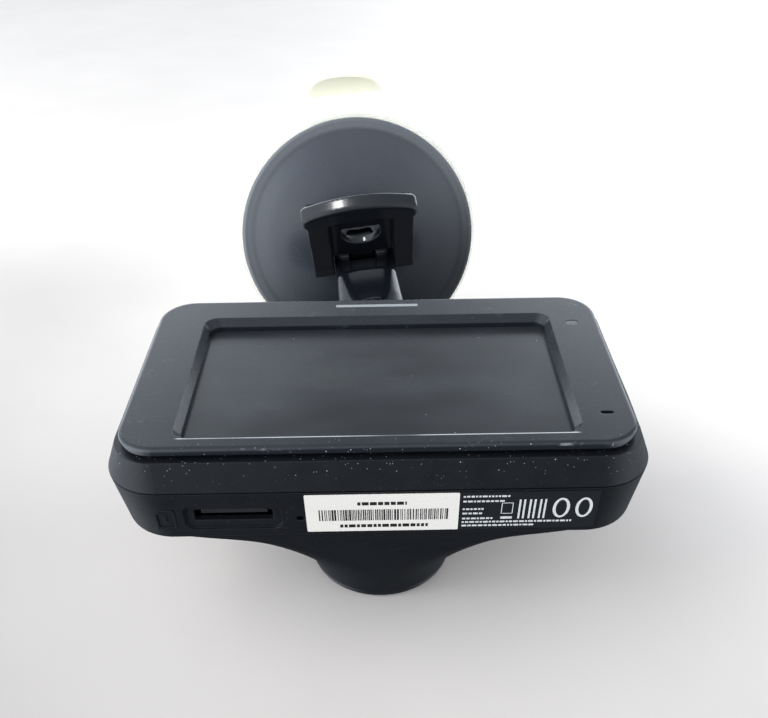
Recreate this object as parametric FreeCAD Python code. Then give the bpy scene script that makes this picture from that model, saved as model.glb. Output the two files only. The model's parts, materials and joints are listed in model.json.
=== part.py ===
import FreeCAD, Part
import math
import os

# Dash camera hanging under a raked windscreen on a suction mount. Millimetres, +Z up.
# Row frame: +X to the right of a driver facing the screen, -Y is where the screen faces,
# +Y is where the lens looks. The origin is the centre of the suction cup's sealing face.
#
# Camera parts are drawn in the camera frame: same directions, origin at the middle of the
# bottom edge of the bezel's face. Mount parts are drawn in the mount frame: origin at the
# ball's centre, before the ball joint's small roll and yaw are applied.

V = FreeCAD.Vector

# ---------------------------------------------------------------- driving dimensions
BODY_WIDTH = 91.2          # widest, at the middle of the seam between the two housings
BODY_BOTTOM = -1.8         # lowest and highest level of the seam
BODY_TOP = 47.4
SEAM_Y = 7.7               # seam between front and rear housing, behind the bezel's face
SEAM_GAP = 0.25            # width of the seam's groove
REAR_EDGE_Y = 19.3         # where the side walls end and the back begins
LENS_Z = 19.3              # height of the lens axis
LENS_FRONT_Y = 41.2        # front of the lens ring
BARREL_R = 13.4            # outside of the barrel's end

WALL = 1.6                 # housing wall
CLEAR = 0.05               # running clearance of every sliding or turning fit
GAP = 0.15                 # assembly gap between fixed parts

BEZEL_HALF_W = 42.0
BEZEL_TOP = 46.0
BEZEL_R = 6.4
BEZEL_T = 1.3              # thickness of the bezel's visible edge
RIM_Y = 2.2                # front rim of the front housing
RIM_HALF_W = 42.9
RIM_BOTTOM = -0.8
RIM_TOP = 46.7
RIM_R = 7.2
SEAM_R = 9.6               # corners of the seam
SEAM_BOW = 1.3             # how far the seam's sides bulge
REAR_HALF_W = 43.9         # rear edge of the side walls
REAR_TOP = 45.6
REAR_R = 9.4
REAR_BOW = 0.6

WINDOW_HALF_W = 33.0       # screen recess on the bezel's face
WINDOW_LOW = 2.7
WINDOW_HIGH = 39.5
WINDOW_STEP = 1.1          # how far the sloped edge comes in
GLASS_Y = 2.3              # face of the display glass
GLASS_T = 0.9
LCD_Y = 3.5                # face of the display module
BOARD_Y = 11.4             # main board
BOARD_T = 1.1

SCREW_SPOTS = [(-36.5, 4.9), (36.5, 4.9), (-36.5, 40.4), (36.5, 40.4)]
SCREW_HEAD_R = 1.9
SCREW_SHAFT_R = 0.9
SCREW_HEAD_Y = 15.6
BOSS_R = 2.7
LED_SPOT = (37.0, 35.9)    # places on the bezel's face, as (x, z)
MIC_SPOT = (37.5, 7.7)
MIC_R = 1.3
MIC_BACK_Y = 6.3           # back of the microphone

CARD_X = -24.0             # places on the bottom face, as x and y
CARD_Y = 14.0
CARD_HALF_W = 5.5
CARD_T = 0.8
RESET_X = -13.0
RESET_Y = 14.4

USB_Z = 22.0               # sockets on the left side
USB_Y = 14.5
AV_Z = 31.5
AV_BORE_R = 1.3
POWER_Z = 31.5             # button on the right side
POWER_Y = 13.4
EVENT_X = 28.0             # button on the top
EVENT_Y = 13.4
SPEAKER_X = 27.0
SPEAKER_Z = 30.0

TUNNEL_R = 10.4            # passage for the lens through the back
RING_R = 12.3              # seat of the lens ring
RING_DEPTH = 3.4
TUBE_R = 6.2               # rear tube of the lens barrel

SHOE_HALF_W = 7.0          # T-shaped shoe and its slot in the top
SHOE_T = 1.8
NECK_SLOT_HALF_W = 4.2
SLOT_FLOOR_Z = 42.3
SLOT_FRONT_Y = 11.0
PEDESTAL_TOP = 48.0
SHOE_BACK_Y = 20.8

BALL_Y = 18.0              # ball joint above the camera's top
BALL_Z = 56.6
BALL_R = 5.5
NECK_R = 2.2
MOUNT_ROLL = -5.6          # pose of the ball joint, degrees about +Y then +Z
MOUNT_YAW = -4.6
SOCKET_BORE_R = 6.95
SOCKET_OUT_R = 8.3
SOCKET_LOW = -3.0
SOCKET_HIGH = 6.5
LINER_TOP = 4.9
NUT_OUT_R = 9.9
NUT_LOW = -4.4
NUT_HIGH = 4.0

CUP_R = 31.2               # soft suction cup
DOME_R = 29.7              # hard dome over it
DOME_TOP_H = 9.2           # heights are counted from the sealing face
DOME_LIP = 2.4             # flat lip around the dome
CUP_RAKE = 17.0            # tilt of the glass normal from vertical, degrees
CUP_Y = -3.4               # sealing face centre in the mount frame
CUP_Z = 51.0
TAB_HALF_W = 9.3           # pull tab of the cup
TAB_LEN = 8.0
TAB_TURN = 5.6             # degrees the soft cup is turned under the dome
STUD_R = 3.0               # stud that the lever pulls
FOOT_R = 8.0
EYE_R = 3.6
WELL_HALF_W = 3.05         # guide for the stud in the tower
WELL_HALF_UP = 3.75
TOWER_HALF_W = 6.9
CROWN_R = 5.0

PIN_H = 17.0               # lever pin above the sealing face, lever raised
PIN_R = 1.5
LEVER_LEAN = 43.5          # the raised lever leans this far from the cup's axis
LEVER_SWING = 60.0         # from raised to locked
STUD_LIFT = 2.6            # how far the locked lever pulls the stud
LEVER_LEN = 24.9           # pin to the middle of the tip
LEVER_BULGE = 2.5          # rise of the tip's arch
LEVER_HALF_W = 12.1
TIP_HALF_W = 13.1
LEVER_FACE = 8.2           # outer face of the lever, from the pin's axis
TIP_T = 4.5
CHEEK_IN = 7.2
CAM_R = 9.0

# ---------------------------------------------------------------- small helpers


def box(x0, x1, y0, y1, z0, z1):
    return Part.makeBox(x1 - x0, y1 - y0, z1 - z0, V(x0, y0, z0))


def rod(start, end, radius):
    """Cylinder between two points."""
    span = end.sub(start)
    return Part.makeCylinder(radius, span.Length, start, span)


def rod_y(x, z, radius, y0, y1):
    return rod(V(x, y0, z), V(x, y1, z), radius)


def rod_z(x, y, radius, z0, z1):
    return rod(V(x, y, z0), V(x, y, z1), radius)


def rounded_wire(x0, x1, z0, z1, radius, y):
    """Rounded rectangle in the plane at depth y, as four lines and four arcs."""
    corners = [(x1 - radius, z1 - radius, 0), (x0 + radius, z1 - radius, 90),
               (x0 + radius, z0 + radius, 180), (x1 - radius, z0 + radius, 270)]
    edges = []
    ends = []
    for cx, cz, start in corners:
        points = []
        for turn in (0, 45, 90):
            angle = math.radians(start + turn)
            points.append(V(cx + radius * math.cos(angle), y, cz + radius * math.sin(angle)))
        edges.append(Part.Arc(*points).toShape())
        ends.append((points[0], points[2]))
    wire = []
    for i, arc in enumerate(edges):
        wire.append(arc)
        following = ends[(i + 1) % 4][0]
        if ends[i][1].sub(following).Length > 1e-6:
            wire.append(Part.makeLine(ends[i][1], following))
    return Part.Wire(wire)


def slab(x0, x1, z0, z1, radius, y0, y1):
    """Rounded rectangular plate between two depths."""
    face = Part.Face(rounded_wire(x0, x1, z0, z1, radius, y0))
    return face.extrude(V(0, y1 - y0, 0))


def centred(half_w, z0, z1, radius, y):
    return rounded_wire(-half_w, half_w, z0, z1, radius, y)


def bowed_wire(half_w, z0, z1, radius, bow, y):
    """Rounded rectangle about X = 0 whose two sides bulge outward by bow."""
    middle = (z0 + z1) / 2
    half_h = (z1 - z0) / 2
    side_r = (half_h ** 2 + bow ** 2) / (2 * bow)
    reach = half_h - radius
    lean = math.asin(reach / (side_r - radius))
    corner_x = half_w - side_r + (side_r - radius) * math.cos(lean)

    def corner(sign_x, sign_z):
        """Corner arc, as its end on the side, its middle and its end on the top or bottom."""
        points = []
        for angle in (lean, (lean + math.pi / 2) / 2, math.pi / 2):
            x = corner_x + radius * math.cos(angle)
            z = reach + radius * math.sin(angle)
            points.append(V(sign_x * x, y, middle + sign_z * z))
        return points

    side_1, turn_1, end_1 = corner(1, 1)
    side_2, turn_2, end_2 = corner(-1, 1)
    side_3, turn_3, end_3 = corner(-1, -1)
    side_4, turn_4, end_4 = corner(1, -1)
    return Part.Wire([
        Part.Arc(side_1, turn_1, end_1).toShape(), Part.makeLine(end_1, end_2),
        Part.Arc(end_2, turn_2, side_2).toShape(),
        Part.Arc(side_2, V(-half_w, y, middle), side_3).toShape(),
        Part.Arc(side_3, turn_3, end_3).toShape(), Part.makeLine(end_3, end_4),
        Part.Arc(end_4, turn_4, side_4).toShape(),
        Part.Arc(side_4, V(half_w, y, middle), side_1).toShape()])


def loft(wires, ruled=True):
    return Part.makeLoft(wires, True, ruled)


def turned(profile, centre, axis):
    """Solid of revolution. A profile entry (radius, height) is reached by a straight line, and
    (radius, height, through radius, through height) by an arc through that middle point."""
    def place(radius, height):
        return centre + V(radius, 0, 0) + axis * height

    edges = []
    last = place(*profile[0])
    for entry in profile[1:] + profile[:1]:
        point = place(*entry[:2])
        if len(entry) == 4:
            edges.append(Part.Arc(last, place(*entry[2:]), point).toShape())
        elif point.sub(last).Length > 1e-6:
            edges.append(Part.makeLine(last, point))
        last = point
    return Part.Face(Part.Wire(edges)).revolve(centre, axis, 360)


def cap(radius, low, high):
    """Profile entry for a round cap that rises from low at the radius to high on the axis."""
    rise = high - low
    ball_r = (radius ** 2 + rise ** 2) / (2 * rise)
    through_h = high - ball_r + math.sqrt(ball_r ** 2 - (radius / 2) ** 2)
    return (0, high, radius / 2, through_h)


def cut_all(shape, tools):
    for tool in tools:
        shape = shape.cut(tool)
    return shape


def fuse_all(shapes):
    result = shapes[0]
    for shape in shapes[1:]:
        result = result.fuse(shape)
    return result.removeSplitter()


def group(solids):
    return Part.makeCompound(solids)


# ---------------------------------------------------------------- camera: the three shells

REAR_START_Y = SEAM_Y + SEAM_GAP
BOTTOM_SLOPE = math.atan2(-BODY_BOTTOM, REAR_EDGE_Y - REAR_START_Y)


def bottom_z(y):
    """Level of the rear housing's bottom face at depth y."""
    return BODY_BOTTOM + (y - REAR_START_Y) * math.tan(BOTTOM_SLOPE)


def side_x(y):
    """Half width of the rear housing at depth y, at mid height."""
    share = (y - REAR_START_Y) / (REAR_EDGE_Y - REAR_START_Y)
    return BODY_WIDTH / 2 + (REAR_HALF_W - BODY_WIDTH / 2) * share


def seam_wire(inset, y):
    half = BODY_WIDTH / 2 - inset
    return bowed_wire(half, BODY_BOTTOM + inset, BODY_TOP - inset, SEAM_R - inset * 0.6, SEAM_BOW, y)


def rim_wire(inset, y):
    return centred(RIM_HALF_W - inset, RIM_BOTTOM + inset, RIM_TOP - inset, RIM_R - inset * 0.6, y)


def rear_wire(inset, y):
    return bowed_wire(REAR_HALF_W - inset, inset, REAR_TOP - inset, REAR_R - inset * 0.6, REAR_BOW, y)


def led_hole(grow, y0, y1):
    x, z = LED_SPOT
    half_w = 1.1 + grow
    half_h = 0.7 + grow
    return slab(x - half_w, x + half_w, z - half_h, z + half_h, half_h - 0.05, y0, y1)


def front_bezel():
    """Face plate with the sloped screen window, and a skirt behind it."""
    plate = slab(-BEZEL_HALF_W, BEZEL_HALF_W, 0, BEZEL_TOP, BEZEL_R, 0, BEZEL_T)
    rim_edges = [e for e in plate.Edges if abs(e.CenterOfMass.y) < 1e-6]
    plate = plate.makeFillet(0.7, rim_edges)
    skirt_in = 1.3
    skirt_back_y = 4.6
    skirt = slab(-BEZEL_HALF_W + skirt_in, BEZEL_HALF_W - skirt_in, skirt_in,
                 BEZEL_TOP - skirt_in, BEZEL_R - 1.0, BEZEL_T, skirt_back_y)
    throat_w = WINDOW_HALF_W - WINDOW_STEP
    throat_low = WINDOW_LOW + WINDOW_STEP
    throat_high = WINDOW_HIGH - WINDOW_STEP
    slope_y = 1.4
    window = loft([centred(WINDOW_HALF_W, WINDOW_LOW, WINDOW_HIGH, 2.6, 0),
                   centred(throat_w, throat_low, throat_high, 1.8, slope_y)])
    throat = slab(-throat_w, throat_w, throat_low, throat_high, 1.8, slope_y, GLASS_Y)
    seat = slab(-33.5, 33.5, WINDOW_LOW + 0.1, WINDOW_HIGH - 0.1, 1.5, GLASS_Y - 0.02, 5.0)
    hollow = slab(-38.6, 38.6, 2.9, 43.2, 3.5, GLASS_Y + GLASS_T + 0.1, 5.0)
    x, z = MIC_SPOT
    mic_slot = slab(x - 1.1, x + 1.1, z - 0.42, z + 0.42, 0.4, -1, 5)
    return cut_all(plate.fuse(skirt), [window, throat, seat, hollow, mic_slot, led_hole(CLEAR, -1, 5)])


def front_housing():
    """Frame between the bezel and the seam, with four screw bosses."""
    outer = loft([rim_wire(0, RIM_Y), seam_wire(0, SEAM_Y)])
    mouth = slab(-41.0, 41.0, 1.0, 45.0, 5.8, RIM_Y - 1, SEAM_Y + 1)
    lip = loft([seam_wire(WALL * 0.9, SEAM_Y - 0.1), seam_wire(WALL * 0.9, SEAM_Y + 1)])
    shell = cut_all(outer, [mouth, lip])
    boss_y = 5.2
    bosses = []
    for x, z in SCREW_SPOTS:
        boss = rod_y(x, z, BOSS_R, boss_y, SEAM_Y)
        wall_x = x + math.copysign(5.4, x)
        web = box(min(x, wall_x), max(x, wall_x), boss_y, SEAM_Y, z - 1.2, z + 1.2)
        bosses.append(boss.fuse(web).common(outer))
    shell = fuse_all([shell] + bosses)
    x, z = MIC_SPOT
    cuts = [rod_y(x, z, MIC_R + GAP, boss_y - 1, MIC_BACK_Y + GAP)]
    cuts += [rod_y(x, z, SCREW_SHAFT_R + CLEAR, 5.6, SEAM_Y + 1) for x, z in SCREW_SPOTS]
    return cut_all(shell, cuts)


# Each step of the back: depth, half width, low and high level, corner radius.
BACK_STEPS = [
    (REAR_EDGE_Y - 0.4, REAR_HALF_W - 0.9, 0.9, REAR_TOP - 0.9, 8.8),
    (20.3, 39.8, 1.15, 43.9, 10.5),
    (21.6, 34.0, 1.5, 42.4, 12.0),
    (24.0, 27.0, 1.9, 40.2, 13.0),
    (28.5, 21.0, 2.5, 37.4, 15.2),
    (33.5, 16.5, 3.8, 35.2, 15.2),
    (LENS_FRONT_Y - 1.6, BARREL_R + 0.25, LENS_Z - BARREL_R - 0.2, LENS_Z + BARREL_R + 0.2, 13.4),
]


def slab_x(x0, x1, y0, y1, z0, z1, radius):
    """Rounded rectangular bar along X."""
    bar = slab(y0, y1, z0, z1, radius, 0, x0 - x1)
    bar.rotate(V(0, 0, 0), V(0, 0, 1), 90)
    bar.translate(V(x0, 0, 0))
    return bar


def slab_z(x0, x1, y0, y1, z0, z1, radius):
    """Rounded rectangular bar along Z."""
    bar = slab(x0, x1, -y1, -y0, radius, 0, z1 - z0)
    bar.rotate(V(0, 0, 0), V(1, 0, 0), 90)
    bar.translate(V(0, 0, z0))
    return bar


def grille_slots():
    """Short slots for the speaker, on the back."""
    middle_x = SPEAKER_X + 4.6
    slots = []
    for row, half in enumerate((3.2, 4.6, 4.6, 4.6, 3.2)):
        z = SPEAKER_Z + (row - 2) * 2.0
        slots.append(slab(middle_x - half, middle_x + half, z - 0.45, z + 0.45, 0.44, 15, 26))
    return slots


def card_surround():
    """Shallow rounded pocket around the card slot, in the bottom face."""
    floor_z = bottom_z(CARD_Y) + 0.9
    return slab_z(CARD_X - 8.0, CARD_X + 8.0, CARD_Y - 3.0, CARD_Y + 2.9, floor_z - 6, floor_z, 1.6)


def port_openings():
    """Holes through the walls for the card, reset pin, sockets and buttons."""
    card = box(CARD_X - 6.5, CARD_X + 6.5, CARD_Y - 1.2, CARD_Y + 1.2, -3, 3)
    reset = rod_z(RESET_X, RESET_Y, 0.65, -3, 3)
    usb = slab_x(-47, -40, USB_Y - 2.2, USB_Y + 2.2, USB_Z - 4.3, USB_Z + 4.3, 1.0)
    av = rod(V(-47, USB_Y, AV_Z), V(-40, USB_Y, AV_Z), 2.3)
    power = slab_x(40, 47, POWER_Y - 1.9, POWER_Y + 1.9, POWER_Z - 5.0, POWER_Z + 5.0, 1.8)
    event = slab_z(EVENT_X - 5.0, EVENT_X + 5.0, EVENT_Y - 1.9, EVENT_Y + 1.9, 42.5, 49, 1.8)
    return [card, reset, usb, av, power, event]


def shoe_slot():
    """T-slot for the mount's shoe, open at the back."""
    wide = box(-SHOE_HALF_W - CLEAR, SHOE_HALF_W + CLEAR, SLOT_FRONT_Y, 40,
               SLOT_FLOOR_Z, SLOT_FLOOR_Z + SHOE_T + 2 * CLEAR)
    narrow = box(-NECK_SLOT_HALF_W - CLEAR, NECK_SLOT_HALF_W + CLEAR, SLOT_FRONT_Y + 2.6, 40,
                 SLOT_FLOOR_Z, PEDESTAL_TOP + 1)
    return [wide, narrow]


def pedestal():
    """Raised block on the top that carries the T-slot."""
    block = box(-10.4, 10.4, 9.8, 20.2, 43.0, PEDESTAL_TOP)
    top_edges = [e for e in block.Edges
                 if e.CenterOfMass.z > PEDESTAL_TOP - 1e-6 and e.CenterOfMass.y < 20]
    return block.makeFillet(1.2, top_edges)


def rear_housing():
    """Side walls, the back swelling into the lens barrel, and the shoe's pedestal."""
    walls = loft([seam_wire(0, REAR_START_Y), rear_wire(0, REAR_EDGE_Y)])
    back_edges = [e for e in walls.Edges if abs(e.CenterOfMass.y - REAR_EDGE_Y) < 1e-6]
    walls = walls.makeFillet(1.0, back_edges)
    back = loft([centred(w, lo, hi, r, y) for y, w, lo, hi, r in BACK_STEPS], ruled=False)
    shell = fuse_all([walls, back, pedestal()])

    hollow = loft([seam_wire(WALL, SEAM_Y), rear_wire(WALL, REAR_EDGE_Y - 1.2)])
    roof = box(-12, 12, SLOT_FRONT_Y - 2.2, REAR_EDGE_Y + 1, SLOT_FLOOR_Z - WALL, PEDESTAL_TOP)
    tunnel = rod_y(0, LENS_Z, TUNNEL_R, REAR_EDGE_Y - 2, LENS_FRONT_Y)
    ring_seat = rod_y(0, LENS_Z, RING_R + GAP, LENS_FRONT_Y - RING_DEPTH, LENS_FRONT_Y)
    shell = cut_all(shell, [hollow.cut(roof), tunnel, ring_seat])

    bosses = [rod_y(x, z, BOSS_R, SEAM_Y + 0.1, REAR_EDGE_Y - 1.0) for x, z in SCREW_SPOTS]
    shell = fuse_all([shell] + bosses)
    cuts = [rod_y(x, z, SCREW_SHAFT_R + CLEAR, SEAM_Y - 1, SCREW_HEAD_Y + 1) for x, z in SCREW_SPOTS]
    cuts += [rod_y(x, z, SCREW_HEAD_R + 0.25, SCREW_HEAD_Y, REAR_EDGE_Y + 3) for x, z in SCREW_SPOTS]
    return cut_all(shell, cuts + shoe_slot() + port_openings() + grille_slots() + [card_surround()])


def housing_screws():
    """Four long screws that hold the two housings together, driven from the back."""
    screws = []
    for x, z in SCREW_SPOTS:
        shaft = rod_y(x, z, SCREW_SHAFT_R, SEAM_Y - 1.8, SCREW_HEAD_Y)
        head = rod_y(x, z, SCREW_HEAD_R, SCREW_HEAD_Y, SCREW_HEAD_Y + 1.3)
        slot_y = SCREW_HEAD_Y + 0.6
        cross = box(x - 1.1, x + 1.1, slot_y, slot_y + 2, z - 0.25, z + 0.25)
        cross = cross.fuse(box(x - 0.25, x + 0.25, slot_y, slot_y + 2, z - 1.1, z + 1.1))
        screws.append(shaft.fuse(head).cut(cross).removeSplitter())
    return group(screws)


# ---------------------------------------------------------------- camera: screen and electronics

BOARD_BACK_Y = BOARD_Y + BOARD_T     # parts on the board's back stand on this level


def display_glass():
    rim = 0.25
    return slab(-33.3, 33.3, WINDOW_LOW + rim, WINDOW_HIGH - rim, 1.2, GLASS_Y, GLASS_Y + GLASS_T)


def lcd_module():
    frame = slab(-32.6, 32.6, 3.2, 40.2, 0.8, LCD_Y, LCD_Y + 2.6)
    sheet = box(-30.2, 30.2, LCD_Y - 1, LCD_Y + 0.3, 5.0, 39.0)
    return frame.cut(sheet)


def lcd_backlight():
    return box(-30.1, 30.1, LCD_Y, LCD_Y + 0.25, 5.1, 38.9)


def ribbon(x0, x1, path, thickness):
    """Flat flexible cable that follows a path of (y, z) points."""
    pieces = []
    for (ya, za), (yb, zb) in zip(path, path[1:]):
        pieces.append(box(x0, x1, min(ya, yb), max(ya, yb) + thickness,
                          min(za, zb), max(za, zb) + thickness))
    return fuse_all(pieces)


def lcd_ribbon():
    """From the display's back, over the board's top edge, to the board's front."""
    display_y = LCD_Y + 2.75
    board_y = BOARD_Y - 0.35
    path = [(display_y, 30.0), (display_y, 41.2), (board_y, 41.2), (board_y, 36.0)]
    return ribbon(13.0, 23.0, path, 0.2)


def sensor_ribbon():
    """From the sensor board down to the main board's back."""
    over = BOARD_BACK_Y + 0.15
    return ribbon(-4.0, 4.0, [(over, 34.2), (over, 37.5), (over + 1.2, 37.5)], 0.2)


def main_board():
    """Board notched around the four bosses and under the pedestal."""
    board = slab(-40.0, 40.0, 2.2, 43.2, 3.0, BOARD_Y, BOARD_BACK_Y)
    y0, y1 = BOARD_Y - 1, BOARD_BACK_Y + 1
    reach = BOSS_R + 0.4
    notches = [box(-13, 13, y0, y1, 39.6, 44)]
    for x, z in SCREW_SPOTS:
        out_x = math.copysign(42, x)
        out_z = 50 if z > LENS_Z else -5
        notches.append(rod_y(x, z, reach, y0, y1))
        notches.append(box(min(x, out_x), max(x, out_x), y0, y1, z - reach, z + reach))
        notches.append(box(x - reach, x + reach, y0, y1, min(z, out_z), max(z, out_z)))
    return cut_all(board, notches)


def shield_can():
    can = box(-9, 9, BOARD_BACK_Y, BOARD_BACK_Y + 1.5, 11, 28)
    return can.cut(box(-8.7, 8.7, BOARD_BACK_Y - 1, BOARD_BACK_Y + 1.2, 11.3, 27.7))


def processor():
    return box(-6.5, 6.5, BOARD_BACK_Y, BOARD_BACK_Y + 1.0, 13, 26)


def battery():
    return slab(-28, 8, 8, 36, 1.0, 6.4, 10.4)


def gps_antenna():
    """Ceramic tile with its metal patch."""
    patch_y = BOARD_BACK_Y + 3.6
    tile = box(-31, -17, BOARD_BACK_Y, patch_y, 26, 40)
    patch = box(-29.6, -18.4, patch_y, patch_y + 0.2, 27.4, 38.6)
    return tile.fuse(patch).removeSplitter()


def card_socket():
    """Socket on the board's back, with a straight channel down to the slot."""
    body = box(CARD_X - 7.0, CARD_X + 7.0, BOARD_BACK_Y, CARD_Y + 1.1, 2.2, 17.8)
    channel = box(CARD_X - CARD_HALF_W - CLEAR, CARD_X + CARD_HALF_W + CLEAR,
                  CARD_Y - CARD_T / 2 - CLEAR, CARD_Y + CARD_T / 2 + CLEAR, 0, 16.8)
    return body.cut(channel)


def memory_card():
    half_t = CARD_T / 2
    card = box(CARD_X - CARD_HALF_W, CARD_X + CARD_HALF_W, CARD_Y - half_t, CARD_Y + half_t, 0.9, 15.9)
    notch = box(CARD_X + CARD_HALF_W - 1.2, CARD_X + CARD_HALF_W + 1, CARD_Y - 2, CARD_Y + 2, 8.8, 17)
    return card.cut(notch)


PLUNGER_R = 0.9


def reset_switch():
    body = box(RESET_X - 2.2, RESET_X + 2.2, BOARD_BACK_Y, RESET_Y + 1.6, 2.4, 5.2)
    return body.cut(rod_z(RESET_X, RESET_Y, PLUNGER_R + CLEAR, 1, 4.6))


def reset_plunger():
    return rod_z(RESET_X, RESET_Y, PLUNGER_R, 1.5, 4.2)


def usb_port():
    """Metal shell of the power socket, its mouth just inside the wall."""
    mouth_x = -side_x(USB_Y) + 0.4
    shell = slab_x(mouth_x, -35.0, USB_Y - 1.95, USB_Y + 1.95, USB_Z - 4.0, USB_Z + 4.0, 0.8)
    room = slab_x(mouth_x - 1, -36.0, USB_Y - 1.65, USB_Y + 1.65, USB_Z - 3.7, USB_Z + 3.7, 0.6)
    return shell.cut(room)


def av_port():
    """Jack socket for the rear camera."""
    mouth_x = -side_x(USB_Y) + 0.6
    body = box(-40.3, -33.0, BOARD_BACK_Y, USB_Y + 2.2, AV_Z - 2.9, AV_Z + 2.9)
    nose = rod(V(mouth_x, USB_Y, AV_Z), V(-40.3, USB_Y, AV_Z), 2.15)
    bore = rod(V(mouth_x - 1, USB_Y, AV_Z), V(-34.0, USB_Y, AV_Z), AV_BORE_R)
    return body.fuse(nose).cut(bore).removeSplitter()


def side_switch():
    return box(37.0, 40.4, BOARD_BACK_Y, POWER_Y + 2.0, POWER_Z - 3, POWER_Z + 3)


def power_button():
    """Cap on the right side with a stem towards its switch."""
    face_x = side_x(POWER_Y) + 0.5
    neck_x = 42.05
    cap = slab_x(neck_x, face_x, POWER_Y - 1.85, POWER_Y + 1.85, POWER_Z - 4.95, POWER_Z + 4.95, 1.75)
    cap = cap.makeFillet(0.45, [e for e in cap.Edges if e.CenterOfMass.x > face_x - 1e-6])
    stem = box(40.7, neck_x, POWER_Y - 0.8, POWER_Y + 0.8, POWER_Z - 1.2, POWER_Z + 1.2)
    return cap.fuse(stem).removeSplitter()


def event_switch():
    return box(EVENT_X - 3, EVENT_X + 3, BOARD_BACK_Y, EVENT_Y + 2.0, 38.4, 41.6)


def event_button():
    """Cap on the top with a stem down to its switch."""
    face_z = 47.1
    neck_z = 44.3
    cap = slab_z(EVENT_X - 4.95, EVENT_X + 4.95, EVENT_Y - 1.85, EVENT_Y + 1.85, neck_z, face_z, 1.75)
    cap = cap.makeFillet(0.45, [e for e in cap.Edges if e.CenterOfMass.z > face_z - 1e-6])
    stem = box(EVENT_X - 1.2, EVENT_X + 1.2, EVENT_Y - 0.8, EVENT_Y + 0.8, 42.0, neck_z)
    return cap.fuse(stem).removeSplitter()


def speaker():
    return rod_y(SPEAKER_X, SPEAKER_Z, 7.0, 13.2, 16.4)


def speaker_cone():
    profile = [(0, 0), (5.6, 0), (5.6, 0.3), cap(5.6, 0.3, 1.1)]
    return turned(profile, V(SPEAKER_X, 16.5, SPEAKER_Z), V(0, 1, 0))


def microphone():
    x, z = MIC_SPOT
    return rod_y(x, z, MIC_R, 5.1, MIC_BACK_Y)


def mic_boot():
    x, z = MIC_SPOT
    return rod_y(x, z, 1.9, 4.7, 5.05).cut(rod_y(x, z, 0.5, 4, 6))


def led_light_pipe():
    """Oval lens in the bezel on a round foot."""
    x, z = LED_SPOT
    foot_y = 4.7
    lens = led_hole(0, 0.05, foot_y)
    foot = rod_y(x, z, 1.5, foot_y, 6.6)
    return lens.fuse(foot).removeSplitter()


# ---------------------------------------------------------------- camera: lens

ALONG_LENS = V(0, 1, 0)


def lens_ring():
    """Front trim ring, rounded outside and dished inside."""
    back = GAP - RING_DEPTH
    flange = -1.45
    profile = [(8.9, back), (RING_R, back), (RING_R, flange), (BARREL_R, flange), (BARREL_R, -0.7),
               (BARREL_R - 0.7, 0, BARREL_R - 0.2, -0.2), (12.0, 0), (9.4, -1.9, 10.2, -0.6), (8.9, -1.9)]
    return turned(profile, V(0, LENS_FRONT_Y, LENS_Z), ALONG_LENS)


def front_lens():
    """Domed front glass."""
    profile = [(0, 0), (8.6, 0), (8.6, 0.7), cap(8.6, 0.7, 3.0)]
    return turned(profile, V(0, LENS_FRONT_Y - 4.6, LENS_Z), ALONG_LENS)


def lens_barrel():
    """Stepped tube that holds the elements, from the sensor to the ring."""
    back_y = 17.6
    step_y = 26.0
    front_y = LENS_FRONT_Y - 4.8
    tube = rod_y(0, LENS_Z, 9.0, step_y, front_y).fuse(rod_y(0, LENS_Z, TUBE_R, back_y, step_y))
    flange = rod_y(0, LENS_Z, TUNNEL_R - GAP, 27, 28.5)
    wide_bore = rod_y(0, LENS_Z, 7.4, 27.5, front_y + 1)
    narrow_bore = rod_y(0, LENS_Z, TUBE_R - 1.6, back_y - 1, 28)
    return tube.fuse(flange).cut(wide_bore.fuse(narrow_bore)).removeSplitter()


def inner_lenses():
    """Three glass elements inside the barrel."""
    small_r = TUBE_R - 1.7
    first = turned([(0, 0), (7.3, 0), (7.3, 1.6), cap(7.3, 1.6, 2.6)], V(0, 31.5, LENS_Z), ALONG_LENS)
    second = turned([(0, 0), (small_r, 0), (small_r, 1.4), cap(small_r, 1.4, 2.4)],
                    V(0, 23.0, LENS_Z), ALONG_LENS)
    third = turned([(0, 0), (small_r, 0), (small_r, 1.2), cap(small_r, 1.2, 1.9)],
                   V(0, 19.6, LENS_Z), ALONG_LENS)
    return group([first, second, third])


def sensor_board():
    return slab(-10, 10, LENS_Z - 9.5, LENS_Z + 9.5, 1.0, 14.9, 15.9)


def image_sensor():
    return box(-4.2, 4.2, 15.9, 16.8, LENS_Z - 3.4, LENS_Z + 3.4)


def lens_mount():
    """Square block between the sensor board and the barrel."""
    half = 7.6
    block = slab(-half, half, LENS_Z - half, LENS_Z + half, 1.5, 16.0, 20.5)
    return block.cut(rod_y(0, LENS_Z, TUBE_R + GAP, 17.5, 21)).cut(rod_y(0, LENS_Z, 5.6, 15, 21))


# ---------------------------------------------------------------- camera: labels on the bottom face


def bottom_label(x0, x1, thickness):
    """Thin sheet lying just off the sloped bottom face."""
    start_y = SEAM_Y + 0.75
    length = 9.5
    air = 0.01
    sheet = slab_z(x0, x1, 0, length, -thickness, 0, 0.25)
    sheet.rotate(V(0, 0, 0), V(1, 0, 0), math.degrees(BOTTOM_SLOPE))
    sheet.translate(V(0, start_y, bottom_z(start_y) - air))
    return sheet


def white_label():
    return bottom_label(-12.0, 13.0, 0.12)


def rating_label():
    return bottom_label(13.15, 35.6, 0.08)


# ---------------------------------------------------------------- mount: frame of the suction cup

RAKE = math.radians(CUP_RAKE)
GLASSWARD = V(0, math.sin(RAKE), math.cos(RAKE))
INWARD = GLASSWARD * -1
UPGLASS = V(0, -math.cos(RAKE), math.sin(RAKE))
ACROSS = V(1, 0, 0)
SEAL = V(0, CUP_Y, CUP_Z)


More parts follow.
